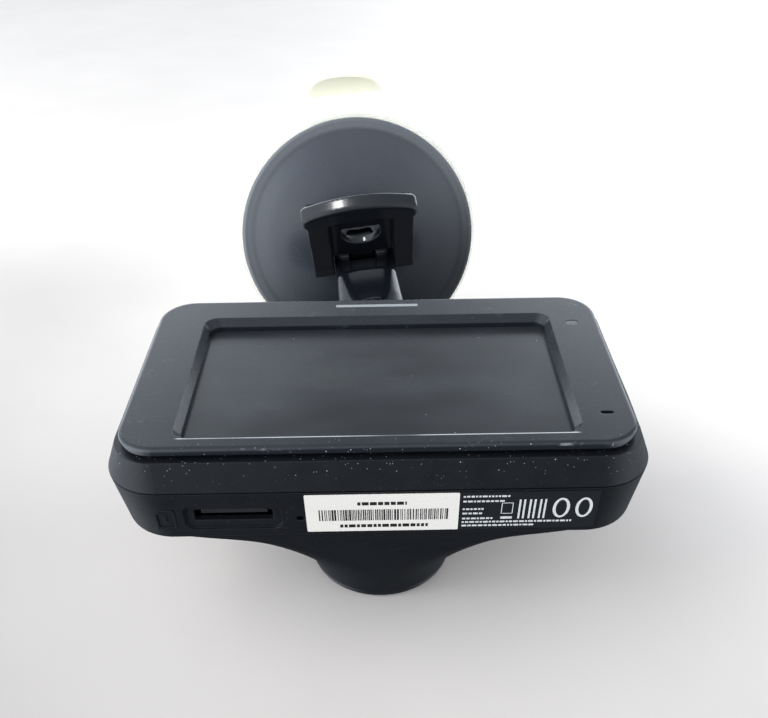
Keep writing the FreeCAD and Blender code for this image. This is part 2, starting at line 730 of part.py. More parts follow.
def cup_point(x, up, height):
    """Point by side step, distance up the glass and height above the sealing face."""
    return SEAL + ACROSS * x + UPGLASS * up + INWARD * height


def cup_direction(lean_deg):
    """Direction in the middle plane, leaning from the inward axis towards up-glass."""
    lean = math.radians(lean_deg)
    return INWARD * math.cos(lean) + UPGLASS * math.sin(lean)


def prism(corners, path):
    """Prism on a polygon, along a vector."""
    return Part.Face(Part.makePolygon(corners + corners[:1])).extrude(path)


def cup_prism(outline, h0, h1):
    """Prism on an outline of (across, up-glass) points, between two heights."""
    return prism([cup_point(x, up, h0) for x, up in outline], INWARD * (h1 - h0))


def cup_turned(profile):
    return turned(profile, SEAL, INWARD)


def disc_x(centre, radius, x0, x1):
    """Disc square to the lever pin."""
    return rod(centre + ACROSS * x0, centre + ACROSS * x1, radius)


PIN = cup_point(0, 0, PIN_H)

# ---------------------------------------------------------------- mount: suction side


def gel_pad():
    return cup_turned([(0, 0), (CUP_R - 0.7, 0), (CUP_R - 0.7, 0.8, CUP_R - 0.4, 0.4), (0, 0.8)])


def pull_tab():
    """Flat tongue up the glass, then a short stretch curled away from it."""
    turn = math.radians(TAB_TURN)
    across = ACROSS * math.cos(turn) - UPGLASS * math.sin(turn)
    along = UPGLASS * math.cos(turn) + ACROSS * math.sin(turn)
    thickness = 1.2
    curl_r = 3.2
    curl_turn = 78
    section = [SEAL + along * 26.5 + INWARD * 0.9 + across * -TAB_HALF_W]
    section.append(section[0] + INWARD * thickness)
    section.append(section[1] + across * 2 * TAB_HALF_W)
    section.append(section[0] + across * 2 * TAB_HALF_W)
    tongue = along * (CUP_R + TAB_LEN - curl_r - 26.5)
    flat = prism(section, tongue)
    end = Part.Face(Part.makePolygon([p + tongue for p in section + section[:1]]))
    curl = end.revolve(section[1] + tongue + INWARD * (curl_r - thickness), across, curl_turn)
    return flat.fuse(curl)


def suction_cup():
    """Soft disc with a raised centre and a pull tab."""
    boss_r = 11.0
    pocket_r = FOOT_R + 0.3
    disc = cup_turned([(0, 0.85), (CUP_R - 0.5, 0.85), (CUP_R - 0.5, 2.45, CUP_R, 1.65), (24.0, 2.6),
                       (boss_r, 3.3), (boss_r, 4.6), (pocket_r, 4.6), (pocket_r, 3.1), (0, 3.1)])
    return disc.fuse(pull_tab())


def pull_stud():
    """Round foot bonded in the cup, a shank, and the eye for the lever pin."""
    foot = cup_turned([(0, 3.2), (FOOT_R, 3.2), (FOOT_R, 4.5), (STUD_R, 4.5), (STUD_R, 13.0), (0, 13.0)])
    half_w = WELL_HALF_W - GAP
    eye = disc_x(PIN, EYE_R, -half_w, half_w)
    neck = rod(cup_point(0, 0, 12.0), PIN, STUD_R).common(disc_x(cup_point(0, 0, 12), 9, -half_w, half_w))
    return fuse_all([foot, eye, neck]).cut(disc_x(PIN, PIN_R, -10, 10))


def lever_pin():
    return disc_x(PIN, PIN_R, -LEVER_HALF_W + 0.4, LEVER_HALF_W - 0.4)


# ---------------------------------------------------------------- mount: lever

LEVER_DIR = cup_direction(LEVER_LEAN)           # from the pin to the tip
LEVER_OUT = cup_direction(LEVER_LEAN - 90)      # towards the face that a thumb presses
CAM_ECCENTRICITY = STUD_LIFT                    # a swing of 60 degrees about the crest lifts this far
CAM_CENTRE = PIN + cup_direction(90 - LEVER_SWING / 2) * CAM_ECCENTRICITY


def lever_point(x, along, out):
    return PIN + ACROSS * x + LEVER_DIR * along + LEVER_OUT * out


def lever_cheek(side):
    """One side arm with its round cam."""
    outline = [(0, LEVER_FACE), (LEVER_LEN - LEVER_BULGE, LEVER_FACE),
               (LEVER_LEN - LEVER_BULGE, LEVER_FACE - TIP_T), (6.0, -6.0), (0, -6.0)]
    corners = [lever_point(side * CHEEK_IN, along, out) for along, out in outline]
    arm = prism(corners, ACROSS * side * (LEVER_HALF_W - CHEEK_IN))
    cam = disc_x(CAM_CENTRE, CAM_R, side * CHEEK_IN, side * LEVER_HALF_W)
    return arm.fuse(cam)


def tip_bar():
    """Arched bar across the tip, rounded all over."""
    end = LEVER_LEN - LEVER_BULGE
    back = end - 3.2

    def at(x, along):
        return lever_point(x, along, LEVER_FACE - TIP_T)

    crest = Part.Arc(at(TIP_HALF_W, end), at(0, LEVER_LEN), at(-TIP_HALF_W, end)).toShape()
    sides = Part.makePolygon([at(-TIP_HALF_W, end), at(-TIP_HALF_W, back), at(TIP_HALF_W, back),
                              at(TIP_HALF_W, end)])
    bar = Part.Face(Part.Wire([crest] + sides.Edges)).extrude(LEVER_OUT * TIP_T)
    return bar.makeFillet(1.1, bar.Edges)


def lever():
    """Two cam cheeks joined by a sunk web with a finger hole, and by the tip bar."""
    web_low = 6.7
    web_face = LEVER_FACE - 0.9
    web_t = 2.0
    web = prism([lever_point(x, along, web_face - web_t)
                 for x, along in ((-CHEEK_IN - 0.5, web_low), (CHEEK_IN + 0.5, web_low),
                                  (CHEEK_IN + 0.5, LEVER_LEN - 3.0), (-CHEEK_IN - 0.5, LEVER_LEN - 3.0))],
                LEVER_OUT * web_t)
    hole_r = 4.6
    hole_at = 15.2
    flat_at = 16.8
    hole = rod(lever_point(0, hole_at, 0), lever_point(0, hole_at, LEVER_FACE + 2), hole_r)
    hole = hole.cut(prism([lever_point(x, along, -1) for x, along in ((-9, flat_at), (9, flat_at),
                                                                      (9, 30), (-9, 30))],
                          LEVER_OUT * (LEVER_FACE + 5)))
    solid = fuse_all([lever_cheek(-1), lever_cheek(1), web, tip_bar()])
    return cut_all(solid, [hole, disc_x(PIN, PIN_R + CLEAR, -20, 20)])


# ---------------------------------------------------------------- mount: base, arm and ball joint

NUT_IN_R = SOCKET_OUT_R + CLEAR
MOUTH_R = 5.6


def frame_matrix(x_axis, y_axis, z_axis, origin):
    return FreeCAD.Matrix(x_axis.x, y_axis.x, z_axis.x, origin.x,
                          x_axis.y, y_axis.y, z_axis.y, origin.y,
                          x_axis.z, y_axis.z, z_axis.z, origin.z,
                          0, 0, 0, 1)


def mount_wire(x_half, y_half, radius, centre, tilt):
    """Rounded rectangle across the arm, its depth axis tilted up from -Y by degrees."""
    tilt = math.radians(tilt)
    y_axis = V(0, -math.cos(tilt), math.sin(tilt))
    wire = rounded_wire(-x_half, x_half, -y_half, y_half, radius, 0)
    normal = y_axis.cross(ACROSS)
    return wire.transformed(frame_matrix(ACROSS, normal, y_axis, centre))


def dome():
    """Shallow cap with a rolled edge, hollow underneath."""
    edge_h = 4.0
    lip_h = 5.0
    slope_r = DOME_R - DOME_LIP
    shell = cup_turned([
        (0, 2.75), (DOME_R, 2.75), (DOME_R, edge_h), (DOME_R - 1.0, lip_h, DOME_R - 0.3, edge_h + 0.7),
        (slope_r, lip_h + 0.15), cap(slope_r, lip_h + 0.15, DOME_TOP_H)])
    hollow_r = 26.4
    under = cap(hollow_r, 2.75, DOME_TOP_H - 1.8)
    return shell.cut(cup_turned([(0, 2), (hollow_r, 2), (hollow_r, 2.75), under]))


def mount_base():
    """Dome, tower, arm and ball socket, moulded in one."""
    tower_side = TOWER_HALF_W - 0.05
    tower = cup_prism([(-TOWER_HALF_W, -CROWN_R), (TOWER_HALF_W, -CROWN_R), (TOWER_HALF_W, CROWN_R),
                       (-TOWER_HALF_W, CROWN_R)], DOME_TOP_H - 1.5, PIN_H)
    crown = disc_x(PIN, CROWN_R, -TOWER_HALF_W, TOWER_HALF_W)
    arm_steps = [(tower_side, 4.2, 1.5, cup_point(0, -3.6, 10.0), CUP_RAKE),
                 (tower_side, 4.4, 1.6, cup_point(0, -6.6, 22.0), CUP_RAKE / 2),
                 (TOWER_HALF_W + 0.1, 5.6, 2.4, V(0, -4.6, 18.0), -10),
                 (TOWER_HALF_W + 0.5, 6.8, 4.0, V(0, -1.6, 10.5), -8),
                 (SOCKET_OUT_R - 0.5, SOCKET_OUT_R - 0.6, 6.6, V(0, 0, SOCKET_HIGH - 1.0), 0)]
    arm = loft([mount_wire(*step) for step in arm_steps])
    socket = rod(V(0, 0, SOCKET_LOW), V(0, 0, SOCKET_HIGH), SOCKET_OUT_R)
    solid = fuse_all([dome(), tower, crown, arm, socket])

    well = cup_prism([(-WELL_HALF_W, -WELL_HALF_UP), (WELL_HALF_W, -WELL_HALF_UP),
                      (WELL_HALF_W, WELL_HALF_UP), (-WELL_HALF_W, WELL_HALF_UP)], 2.0, 25.0)
    room_r = FOOT_R + 0.6
    foot_room = cup_turned([(0, 2), (room_r, 2), (room_r, DOME_TOP_H - 1.9), (0, DOME_TOP_H - 1.9)])
    slot_half = PIN_R + 0.1
    slot = prism([cup_point(-20, up, height) for up, height in
                  ((-slot_half, PIN_H - slot_half), (slot_half, PIN_H - slot_half),
                   (slot_half, PIN_H + STUD_LIFT + slot_half), (-slot_half, PIN_H + STUD_LIFT + slot_half))],
                 ACROSS * 40)
    liner_bore = rod(V(0, 0, SOCKET_LOW - 1), V(0, 0, LINER_TOP + 0.1), SOCKET_BORE_R)
    ball_room = Part.makeSphere(BALL_R + GAP)
    return cut_all(solid, [well, foot_room, slot, liner_bore, ball_room])


def socket_liner():
    """Plain bush between the socket and the ball."""
    bush = rod(V(0, 0, -4.0), V(0, 0, LINER_TOP), SOCKET_BORE_R - CLEAR)
    ball_room = Part.makeSphere(BALL_R + CLEAR)
    mouth = turned([(0, 0), (3.2, 0), (5.6, -5.0), (0, -5.0)], V(0, 0, 0), V(0, 0, 1))
    return cut_all(bush, [ball_room, mouth, rod(V(0, 0, 0), V(0, 0, 6), 3.0)])


def locking_nut():
    """Ribbed ring on the socket that clamps the liner."""
    floor = NUT_LOW + 0.25
    body = turned([(MOUTH_R, NUT_LOW - 0.6), (NUT_OUT_R - 0.9, NUT_LOW - 0.6),
                   (NUT_OUT_R, NUT_LOW + 0.3, NUT_OUT_R - 0.25, NUT_LOW - 0.35),
                   (NUT_OUT_R, NUT_HIGH - 0.5), (NUT_OUT_R - 0.5, NUT_HIGH), (NUT_IN_R, NUT_HIGH),
                   (NUT_IN_R, floor), (MOUTH_R, floor)], V(0, 0, 0), V(0, 0, 1))
    grooves = []
    groove_count = 24
    for i in range(groove_count):
        angle = 2 * math.pi * (i + 0.5) / groove_count
        x = (NUT_OUT_R + 0.25) * math.cos(angle)
        y = (NUT_OUT_R + 0.25) * math.sin(angle)
        grooves.append(rod(V(x, y, NUT_LOW + 1.0), V(x, y, NUT_HIGH + 1), 0.7))
    return cut_all(body, grooves)


# ---------------------------------------------------------------- shoe and ball, upright with the camera


def ball():
    """Ball centred on the joint, with a bore for the neck."""
    sphere = Part.makeSphere(BALL_R, V(0, BALL_Y, BALL_Z))
    return sphere.cut(rod_z(0, BALL_Y, NECK_R + CLEAR, BALL_Z - 8, BALL_Z + 3.0))


def mount_shoe():
    """Slide-in plate with its pillar and the neck of the ball."""
    floor = SLOT_FLOOR_Z + CLEAR
    plate = slab_z(-SHOE_HALF_W, SHOE_HALF_W, SLOT_FRONT_Y + 0.3, SHOE_BACK_Y, floor, floor + SHOE_T, 1.2)
    pillar = slab_z(-NECK_SLOT_HALF_W, NECK_SLOT_HALF_W, SLOT_FRONT_Y + 2.9, SHOE_BACK_Y,
                    floor + SHOE_T - 0.1, PEDESTAL_TOP + 0.2, 1.0)
    neck_len = BALL_Z + 2.7 - PEDESTAL_TOP
    neck = turned([(0, 0), (3.6, 0), (NECK_R, 1.6, 2.6, 0.6), (NECK_R, neck_len), (0, neck_len)],
                  V(0, BALL_Y, PEDESTAL_TOP), V(0, 0, 1))
    return fuse_all([plate, pillar, neck])


# ---------------------------------------------------------------- placing everything

BALL = V(0, BALL_Y, BALL_Z)
YAW = FreeCAD.Rotation(V(0, 0, 1), MOUNT_YAW)
ROLL = FreeCAD.Rotation(V(0, 1, 0), MOUNT_ROLL)
MOUNT_PLACE = FreeCAD.Placement(BALL, YAW.multiply(ROLL))
ORIGIN = MOUNT_PLACE.multVec(SEAL)

CAMERA_PARTS = [
    front_bezel, front_housing, rear_housing, housing_screws, display_glass, lcd_module, lcd_backlight,
    lcd_ribbon, sensor_ribbon, main_board, processor, shield_can, battery, gps_antenna, card_socket,
    memory_card, reset_switch, reset_plunger, usb_port, av_port, side_switch, power_button, event_switch,
    event_button, speaker, speaker_cone, microphone, mic_boot, led_light_pipe, lens_ring, front_lens,
    lens_barrel, inner_lenses, sensor_board, image_sensor, lens_mount, white_label, rating_label, ball,
    mount_shoe,
]
MOUNT_PARTS = [gel_pad, suction_cup, pull_stud, lever_pin, lever, mount_base, socket_liner, locking_nut]


def write(make, placement):
    shape = make().transformed(placement.toMatrix())
    shape.exportStep("parts/%s.step" % make.__name__)


TO_ROW_FRAME = FreeCAD.Placement(ORIGIN * -1, FreeCAD.Rotation())

os.makedirs("parts", exist_ok=True)
for part in CAMERA_PARTS:
    write(part, TO_ROW_FRAME)
for part in MOUNT_PARTS:
    write(part, TO_ROW_FRAME.multiply(MOUNT_PLACE))
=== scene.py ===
import json
import math
import random

import bpy
from mathutils import Matrix, Vector


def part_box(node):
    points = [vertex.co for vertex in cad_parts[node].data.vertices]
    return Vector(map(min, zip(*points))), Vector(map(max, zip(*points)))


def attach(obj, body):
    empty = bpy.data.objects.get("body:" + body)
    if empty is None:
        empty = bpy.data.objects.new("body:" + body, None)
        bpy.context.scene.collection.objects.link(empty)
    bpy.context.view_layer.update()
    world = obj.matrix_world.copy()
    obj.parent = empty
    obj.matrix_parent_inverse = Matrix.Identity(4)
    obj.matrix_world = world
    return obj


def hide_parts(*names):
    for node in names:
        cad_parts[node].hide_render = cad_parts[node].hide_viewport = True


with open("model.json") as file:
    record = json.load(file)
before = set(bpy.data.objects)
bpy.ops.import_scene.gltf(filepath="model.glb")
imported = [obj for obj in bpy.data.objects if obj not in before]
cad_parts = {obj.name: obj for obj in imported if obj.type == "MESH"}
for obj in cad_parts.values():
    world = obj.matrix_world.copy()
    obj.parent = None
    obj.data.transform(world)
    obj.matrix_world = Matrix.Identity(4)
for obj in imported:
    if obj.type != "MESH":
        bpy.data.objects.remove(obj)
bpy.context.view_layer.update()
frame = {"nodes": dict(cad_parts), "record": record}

NODES = frame["nodes"]
RECORD = frame["record"]
JOINTS = {joint["name"]: joint for joint in RECORD["behaviour"]["joints"]}
MM = 0.001

# ---------------------------------------------------------------- places taken from the frame

BEZEL_LOW, BEZEL_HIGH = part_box("front_bezel")
MID_X = (BEZEL_LOW.x + BEZEL_HIGH.x) / 2
CAMERA_ORIGIN = Vector((MID_X, BEZEL_LOW.y, BEZEL_LOW.z))
BEZEL_W = (BEZEL_HIGH.x - BEZEL_LOW.x) / MM
BEZEL_H = (BEZEL_HIGH.z - BEZEL_LOW.z) / MM

GLASSWARD = Vector(RECORD["mounts"][0]["axis"]).normalized()
INWARD = -GLASSWARD
PIN_AXIS = Vector(JOINTS["lever_lock"]["axis"]).normalized()
ACROSS = PIN_AXIS if PIN_AXIS.x > 0 else -PIN_AXIS
UPGLASS = ACROSS.cross(GLASSWARD).normalized()
GEL_LOW, GEL_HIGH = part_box("gel_pad")
PAD_R = (GEL_HIGH.x - GEL_LOW.x) / 2 / math.sqrt(1 - GLASSWARD.x ** 2) / MM
CUP_R = PAD_R + 0.4
DOME_R = PAD_R - 1.1


def cam(x, y, z):
    """Row-frame point from millimetres right of, behind and above the bezel's bottom edge."""
    return CAMERA_ORIGIN + Vector((x, y, z)) * MM


def cup(x, up, height):
    """Row-frame point from millimetres across, up the glass and away from it."""
    return (ACROSS * x + UPGLASS * up + INWARD * height) * MM


# ---------------------------------------------------------------- shader helpers


def new_material(name):
    material = bpy.data.materials.new(name)
    material.use_nodes = True
    tree = material.node_tree
    shader = tree.nodes["Principled BSDF"]
    return material, tree, shader


def add(tree, kind, **values):
    """New shader node, with sockets or properties set by name."""
    node = tree.nodes.new(kind)
    for key, value in values.items():
        if key in node.inputs:
            node.inputs[key].default_value = value
        else:
            setattr(node, key, value)
    return node


def plug(tree, value, socket):
    """Links a socket, or sets a number or colour."""
    if isinstance(value, bpy.types.NodeSocket):
        tree.links.new(value, socket)
    elif isinstance(value, tuple) and len(value) == 3 and socket.type == "RGBA":
        socket.default_value = (*value, 1)
    else:
        socket.default_value = value


def object_coords(tree):
    return add(tree, "ShaderNodeTexCoord").outputs["Object"]


def noise(tree, scale, detail=2.0, roughness=0.5, stretch=None):
    node = add(tree, "ShaderNodeTexNoise", Scale=scale, Detail=detail, Roughness=roughness)
    source = object_coords(tree)
    if stretch:
        mapping = add(tree, "ShaderNodeMapping", Scale=stretch)
        plug(tree, source, mapping.inputs["Vector"])
        source = mapping.outputs[0]
    plug(tree, source, node.inputs["Vector"])
    return node.outputs["Fac"]


def ramp(tree, value, low, high, out_low=0.0, out_high=1.0, smooth=False):
    node = add(tree, "ShaderNodeMapRange")
    if smooth:
        node.interpolation_type = "SMOOTHSTEP"
    for name, number in (("From Min", low), ("From Max", high), ("To Min", out_low), ("To Max", out_high)):
        node.inputs[name].default_value = number
    plug(tree, value, node.inputs["Value"])
    return node.outputs["Result"]


def mix_colour(tree, factor, first, second):
    node = add(tree, "ShaderNodeMix", data_type="RGBA")
    plug(tree, factor, node.inputs[0])
    plug(tree, first, node.inputs[6])
    plug(tree, second, node.inputs[7])
    return node.outputs[2]


def calc(tree, operation, first, second):
    node = add(tree, "ShaderNodeMath", operation=operation)
    plug(tree, first, node.inputs[0])
    plug(tree, second, node.inputs[1])
    return node.outputs[0]


def along(tree, direction, place=(0, 0, 0)):
    """Distance in millimetres from a place, along a direction, at the shaded point."""
    offset = add(tree, "ShaderNodeVectorMath", operation="SUBTRACT")
    plug(tree, object_coords(tree), offset.inputs[0])
    offset.inputs[1].default_value = tuple(place)
    dot = add(tree, "ShaderNodeVectorMath", operation="DOT_PRODUCT")
    plug(tree, offset.outputs[0], dot.inputs[0])
    dot.inputs[1].default_value = tuple(Vector(direction) / MM)
    return dot.outputs["Value"]


def band(tree, value, low, high, soft):
    """One between low and high, fading over soft on both sides."""
    rise = ramp(tree, value, low - soft, low, smooth=True)
    fall = ramp(tree, value, high, high + soft, 1.0, 0.0, smooth=True)
    return calc(tree, "MULTIPLY", rise, fall)


def round_normal(tree, shader, radius_mm, height=None, strength=0.1, depth_mm=0.03):
    """Softened edges, with an optional fine relief on top."""
    bevel = add(tree, "ShaderNodeBevel", samples=4)
    bevel.inputs["Radius"].default_value = radius_mm * MM
    normal = bevel.outputs["Normal"]
    if height is not None:
        bump = add(tree, "ShaderNodeBump", Strength=strength, Distance=depth_mm * MM)
        plug(tree, height, bump.inputs["Height"])
        plug(tree, normal, bump.inputs["Normal"])
        normal = bump.outputs["Normal"]
    plug(tree, normal, shader.inputs["Normal"])


def specks(tree, cell_mm, size, share, seed=0.0):
    """White where a speck of dust lies: a small dot in some cells of a Voronoi pattern."""
    shift = add(tree, "ShaderNodeMapping", Location=(seed, seed * 0.7, seed * 1.3))
    plug(tree, object_coords(tree), shift.inputs["Vector"])
    cells = add(tree, "ShaderNodeTexVoronoi", Scale=1 / (cell_mm * MM), Randomness=1.0)
    plug(tree, shift.outputs[0], cells.inputs["Vector"])
    dot = ramp(tree, cells.outputs["Distance"], size, size * 0.5)
    hue = add(tree, "ShaderNodeSeparateColor")
    plug(tree, cells.outputs["Color"], hue.inputs[0])
    keep = calc(tree, "LESS_THAN", hue.outputs[0], share)
    return calc(tree, "MULTIPLY", dot, keep)


def scratches(tree, scale, level):
    """Faint thin lines where two stretched noises cross a level."""
    field = noise(tree, scale, 3.0, 0.5, stretch=(0.25, 1, 1))
    near = calc(tree, "ABSOLUTE", calc(tree, "SUBTRACT", field, 0.5), 0)
    line = ramp(tree, near, 0.0, level, 1.0, 0.0)
    gate = ramp(tree, noise(tree, scale * 0.4, 1.0), 0.55, 0.7)
    return calc(tree, "MULTIPLY", line, gate)


DUST = (0.60, 0.61, 0.62)
# Pale grey for the paler marks: a painted highlight on the bezel's window lip and step, and a lighter lip
# on the dome.
PALE_GREY = (0.40, 0.41, 0.42)
# Sizes of dust: spacing in millimetres, dot size, share of cells that hold one, shift, strength.
DUST_SIZES = [
    (1.0, 0.11, 0.24, 0.0, 1.0),
    (2.4, 0.06, 0.30, 0.02, 1.0),
    (0.5, 0.20, 0.18, 0.05, 0.55),
]
SCRATCH_SCALE = 320
SCRATCH_WIDTH = 0.006
GLOSS_SPREAD = 0.12
POLISHED_ROUGHNESS = 0.35
GRAIN_DEPTH_MM = 0.05


def plastic(name, colour, rough, grain_mm=0.25, grain=0.12, spread=0.08, dust=0.0, wear=0.0,
            coat=0.0, spec=0.5, edge_mm=0.15, dust_where=None, polish_where=None, paler_where=None):
    """Moulded plastic: fine grain, uneven gloss, faint colour drift, dust, rubbed lines from wear, and
    paler marks where asked.
    """
    material, tree, shader = new_material(name)
    dark = tuple(c * (1 - spread) for c in colour)
    light = tuple(c * (1 + spread) for c in colour)
    base = mix_colour(tree, ramp(tree, noise(tree, 60, 3.0), 0.3, 0.7), dark, light)
    if dust:
        cover = 0.0
        for cell_mm, size, share, shift, strength in DUST_SIZES:
            layer = calc(tree, "MULTIPLY", specks(tree, cell_mm, size, share, shift), strength)
            cover = calc(tree, "MAXIMUM", cover, layer)
        amount = calc(tree, "MULTIPLY", cover, dust)
        if dust_where:
            amount = calc(tree, "MULTIPLY", amount, dust_where(tree))
        base = mix_colour(tree, amount, base, DUST)
    if wear:
        marks = calc(tree, "MULTIPLY", scratches(tree, SCRATCH_SCALE, SCRATCH_WIDTH), wear)
        base = mix_colour(tree, marks, base, tuple(min(1, c * 5 + 0.05) for c in colour))
    # Paler marks: on the bezel a painted highlight along the window lip and the step, on the dome a lighter
    # lip.
    if paler_where:
        base = mix_colour(tree, paler_where(tree), base, PALE_GREY)
    plug(tree, base, shader.inputs["Base Color"])
    gloss = ramp(tree, noise(tree, 240, 4.0, 0.6), 0.3, 0.7,
                 rough * (1 - GLOSS_SPREAD), min(1.0, rough * (1 + GLOSS_SPREAD)))
    if polish_where:
        gloss = calc(tree, "MULTIPLY", gloss, ramp(tree, polish_where(tree), 0, 1, 1.0, POLISHED_ROUGHNESS))
    plug(tree, gloss, shader.inputs["Roughness"])
    round_normal(tree, shader, edge_mm, noise(tree, 1 / (grain_mm * MM), 2.0, 0.6), grain, GRAIN_DEPTH_MM)
    if polish_where:
        plug(tree, ramp(tree, polish_where(tree), 0, 1, coat, 1.0), shader.inputs["Coat Weight"])
    else:
        shader.inputs["Coat Weight"].default_value = coat
    shader.inputs["Coat Roughness"].default_value = 0.10
    shader.inputs["Specular IOR Level"].default_value = spec
    return material


def metal(name, colour, rough, brushed=True):
    """Plated or brushed metal with streaked gloss."""
    material, tree, shader = new_material(name)
    stretch = (1, 14, 1) if brushed else None
    streak = noise(tree, 900, 3.0, 0.6, stretch=stretch)
    base = mix_colour(tree, ramp(tree, streak, 0.3, 0.7), tuple(c * 0.85 for c in colour), colour)
    plug(tree, base, shader.inputs["Base Color"])
    plug(tree, ramp(tree, streak, 0.3, 0.7, rough * 0.8, rough * 1.3), shader.inputs["Roughness"])
    shader.inputs["Metallic"].default_value = 1.0
    round_normal(tree, shader, 0.06, streak, 0.05, 0.01)
    return material


def circuit_board():
    """Green solder mask with copper traces under it and pale pads."""
    material, tree, shader = new_material("m_circuit_board")
    tracks = add(tree, "ShaderNodeTexBrick", Scale=260.0)
    tracks.inputs["Color1"].default_value = (0.008, 0.085, 0.035, 1)
    tracks.inputs["Color2"].default_value = (0.012, 0.11, 0.045, 1)
    tracks.inputs["Mortar"].default_value = (0.03, 0.2, 0.08, 1)
    tracks.inputs["Mortar Size"].default_value = 0.03
    mapping = add(tree, "ShaderNodeMapping", Rotation=(math.pi / 2, 0, 0))
    plug(tree, object_coords(tree), mapping.inputs["Vector"])
    plug(tree, mapping.outputs[0], tracks.inputs["Vector"])
    pads = specks(tree, 1.8, 0.22, 0.3)
    plug(tree, mix_colour(tree, pads, tracks.outputs["Color"], (0.6, 0.6, 0.58)),
         shader.inputs["Base Color"])
    plug(tree, ramp(tree, noise(tree, 200), 0.3, 0.7, 0.3, 0.45), shader.inputs["Roughness"])
    round_normal(tree, shader, 0.08)
    return material


def screen_film():
    """Hard-coated film over a switched-off display: soft gloss, wipe marks and a little dust."""
    material, tree, shader = new_material("m_screen")
    smear = noise(tree, 45, 4.0, 0.55, stretch=(1, 1, 2.2))
    clean, wiped = (0.012, 0.0135, 0.016), (0.020, 0.022, 0.025)
    base = mix_colour(tree, ramp(tree, smear, 0.35, 0.7), clean, wiped)
    motes = calc(tree, "MULTIPLY", specks(tree, 2.2, 0.05, 0.12), 0.6)
    plug(tree, mix_colour(tree, motes, base, DUST), shader.inputs["Base Color"])
    plug(tree, ramp(tree, smear, 0.3, 0.75, 0.20, 0.32), shader.inputs["Roughness"])
    shader.inputs["Specular IOR Level"].default_value = 0.49
    round_normal(tree, shader, 0.1, noise(tree, 5000, 2.0), 0.06, 0.02)
    return material


def optical_glass():
    """Coated glass that shows purple and green at a slant."""
    material, tree, shader = new_material("m_lens")
    slant = add(tree, "ShaderNodeLayerWeight", Blend=0.35).outputs["Facing"]
    tint = mix_colour(tree, ramp(tree, slant, 0.05, 0.6), (0.55, 0.50, 0.95), (0.45, 0.9, 0.65))
    plug(tree, tint, shader.inputs["Specular Tint"])
    plug(tree, mix_colour(tree, noise(tree, 90), (0.86, 0.90, 0.97), (0.90, 0.93, 0.98)),
         shader.inputs["Base Color"])
    shader.inputs["Transmission Weight"].default_value = 1.0
    shader.inputs["Roughness"].default_value = 0.01
    shader.inputs["IOR"].default_value = 1.52
    shader.inputs["Specular IOR Level"].default_value = 0.8
    return material


def soft_clear(name, colour, shaded_colour, clear, start_mm, end_mm):
    """Translucent soft plastic, yellower and less clear towards the end of the pull tab: painted shade for
    the curled end's layered look.
    """
    material, tree, shader = new_material(name)
    # Painted shade: the colour deepens and the sheet grows less clear towards the far end.
    far = ramp(tree, along(tree, UPGLASS), start_mm, end_mm, smooth=True)
    cloud = ramp(tree, noise(tree, 130, 3.0), 0.3, 0.7, 0.97, 1.03)
    tone = mix_colour(tree, far, colour, shaded_colour)
    scaled = add(tree, "ShaderNodeVectorMath", operation="SCALE")
    plug(tree, tone, scaled.inputs[0])
    plug(tree, cloud, scaled.inputs["Scale"])
    plug(tree, scaled.outputs[0], shader.inputs["Base Color"])
    shader.inputs["Roughness"].default_value = 0.35
    shader.inputs["Specular IOR Level"].default_value = 0.35
    shader.inputs["Subsurface Weight"].default_value = 0.5
    shader.inputs["Subsurface Radius"].default_value = (0.004, 0.004, 0.003)
    see_through = add(tree, "ShaderNodeBsdfTransparent")
    see_through.inputs[0].default_value = (1.0, 0.995, 0.97, 1)
    choose = add(tree, "ShaderNodeMixShader")
    plug(tree, ramp(tree, far, 0, 1, clear, clear * 0.35), choose.inputs[0])
    plug(tree, shader.outputs[0], choose.inputs[1])
    plug(tree, see_through.outputs[0], choose.inputs[2])
    plug(tree, choose.outputs[0], tree.nodes["Material Output"].inputs["Surface"])
    return material


def paper(name, colour, rough):
    """Printed stock with a faint fibre pattern."""
    material, tree, shader = new_material(name)
    fibre = noise(tree, 1800, 3.0, 0.6)
    stain = noise(tree, 80, 3.0)
    base = mix_colour(tree, ramp(tree, fibre, 0.3, 0.7), tuple(c * 0.96 for c in colour), colour)
    base = mix_colour(tree, ramp(tree, stain, 0.6, 0.8, 0, 0.25), base,
                      tuple(c * d for c, d in zip(colour, (0.9, 0.89, 0.84))))
    plug(tree, base, shader.inputs["Base Color"])
    plug(tree, ramp(tree, stain, 0.3, 0.7, rough * 0.9, rough * 1.1), shader.inputs["Roughness"])
    round_normal(tree, shader, 0.03, fibre, 0.1, 0.01)
    return material


def groove_dust(tree):
    """Dust gathers in the groove around the bezel and along its lower edge."""
    depth = along(tree, (0, 1, 0), cam(0, 0, 0))
    height = along(tree, (0, 0, 1), cam(0, 0, 0))
    low = ramp(tree, height, 1.5, 5.0, 1.0, 0.10, smooth=True)
    ring = band(tree, depth, 0.3, 2.4, 0.4)
    return calc(tree, "MAXIMUM", calc(tree, "MULTIPLY", ring, low), calc(tree, "MULTIPLY", low, 0.35))


def rim_dust(tree):
    """More dust on the front rim of the housing than further back."""
    depth = along(tree, (0, 1, 0), cam(0, 0, 0))
    return ramp(tree, depth, 2.6, 6.5, 1.0, 0.14, smooth=True)


def bezel_step(tree):
    """The polished outer edge of the bezel, just behind its face and outside the window."""
    behind = ramp(tree, along(tree, (0, 1, 0), cam(0, 0, 0)), 0.1, 0.35, smooth=True)
    across = band(tree, along(tree, (1, 0, 0), cam(0, 0, 0)), -BEZEL_W * 0.42, BEZEL_W * 0.42, 1.0)
    up = band(tree, along(tree, (0, 0, 1), cam(0, 0, 0)), 2.0, BEZEL_H * 0.92, 0.5)
    inside = calc(tree, "MULTIPLY", across, up)
    return calc(tree, "MULTIPLY", behind, calc(tree, "SUBTRACT", 1.0, inside))


LIP_LOW = 2.52
LIP_HIGH = 2.72
LIP_HALF_W = 31.5


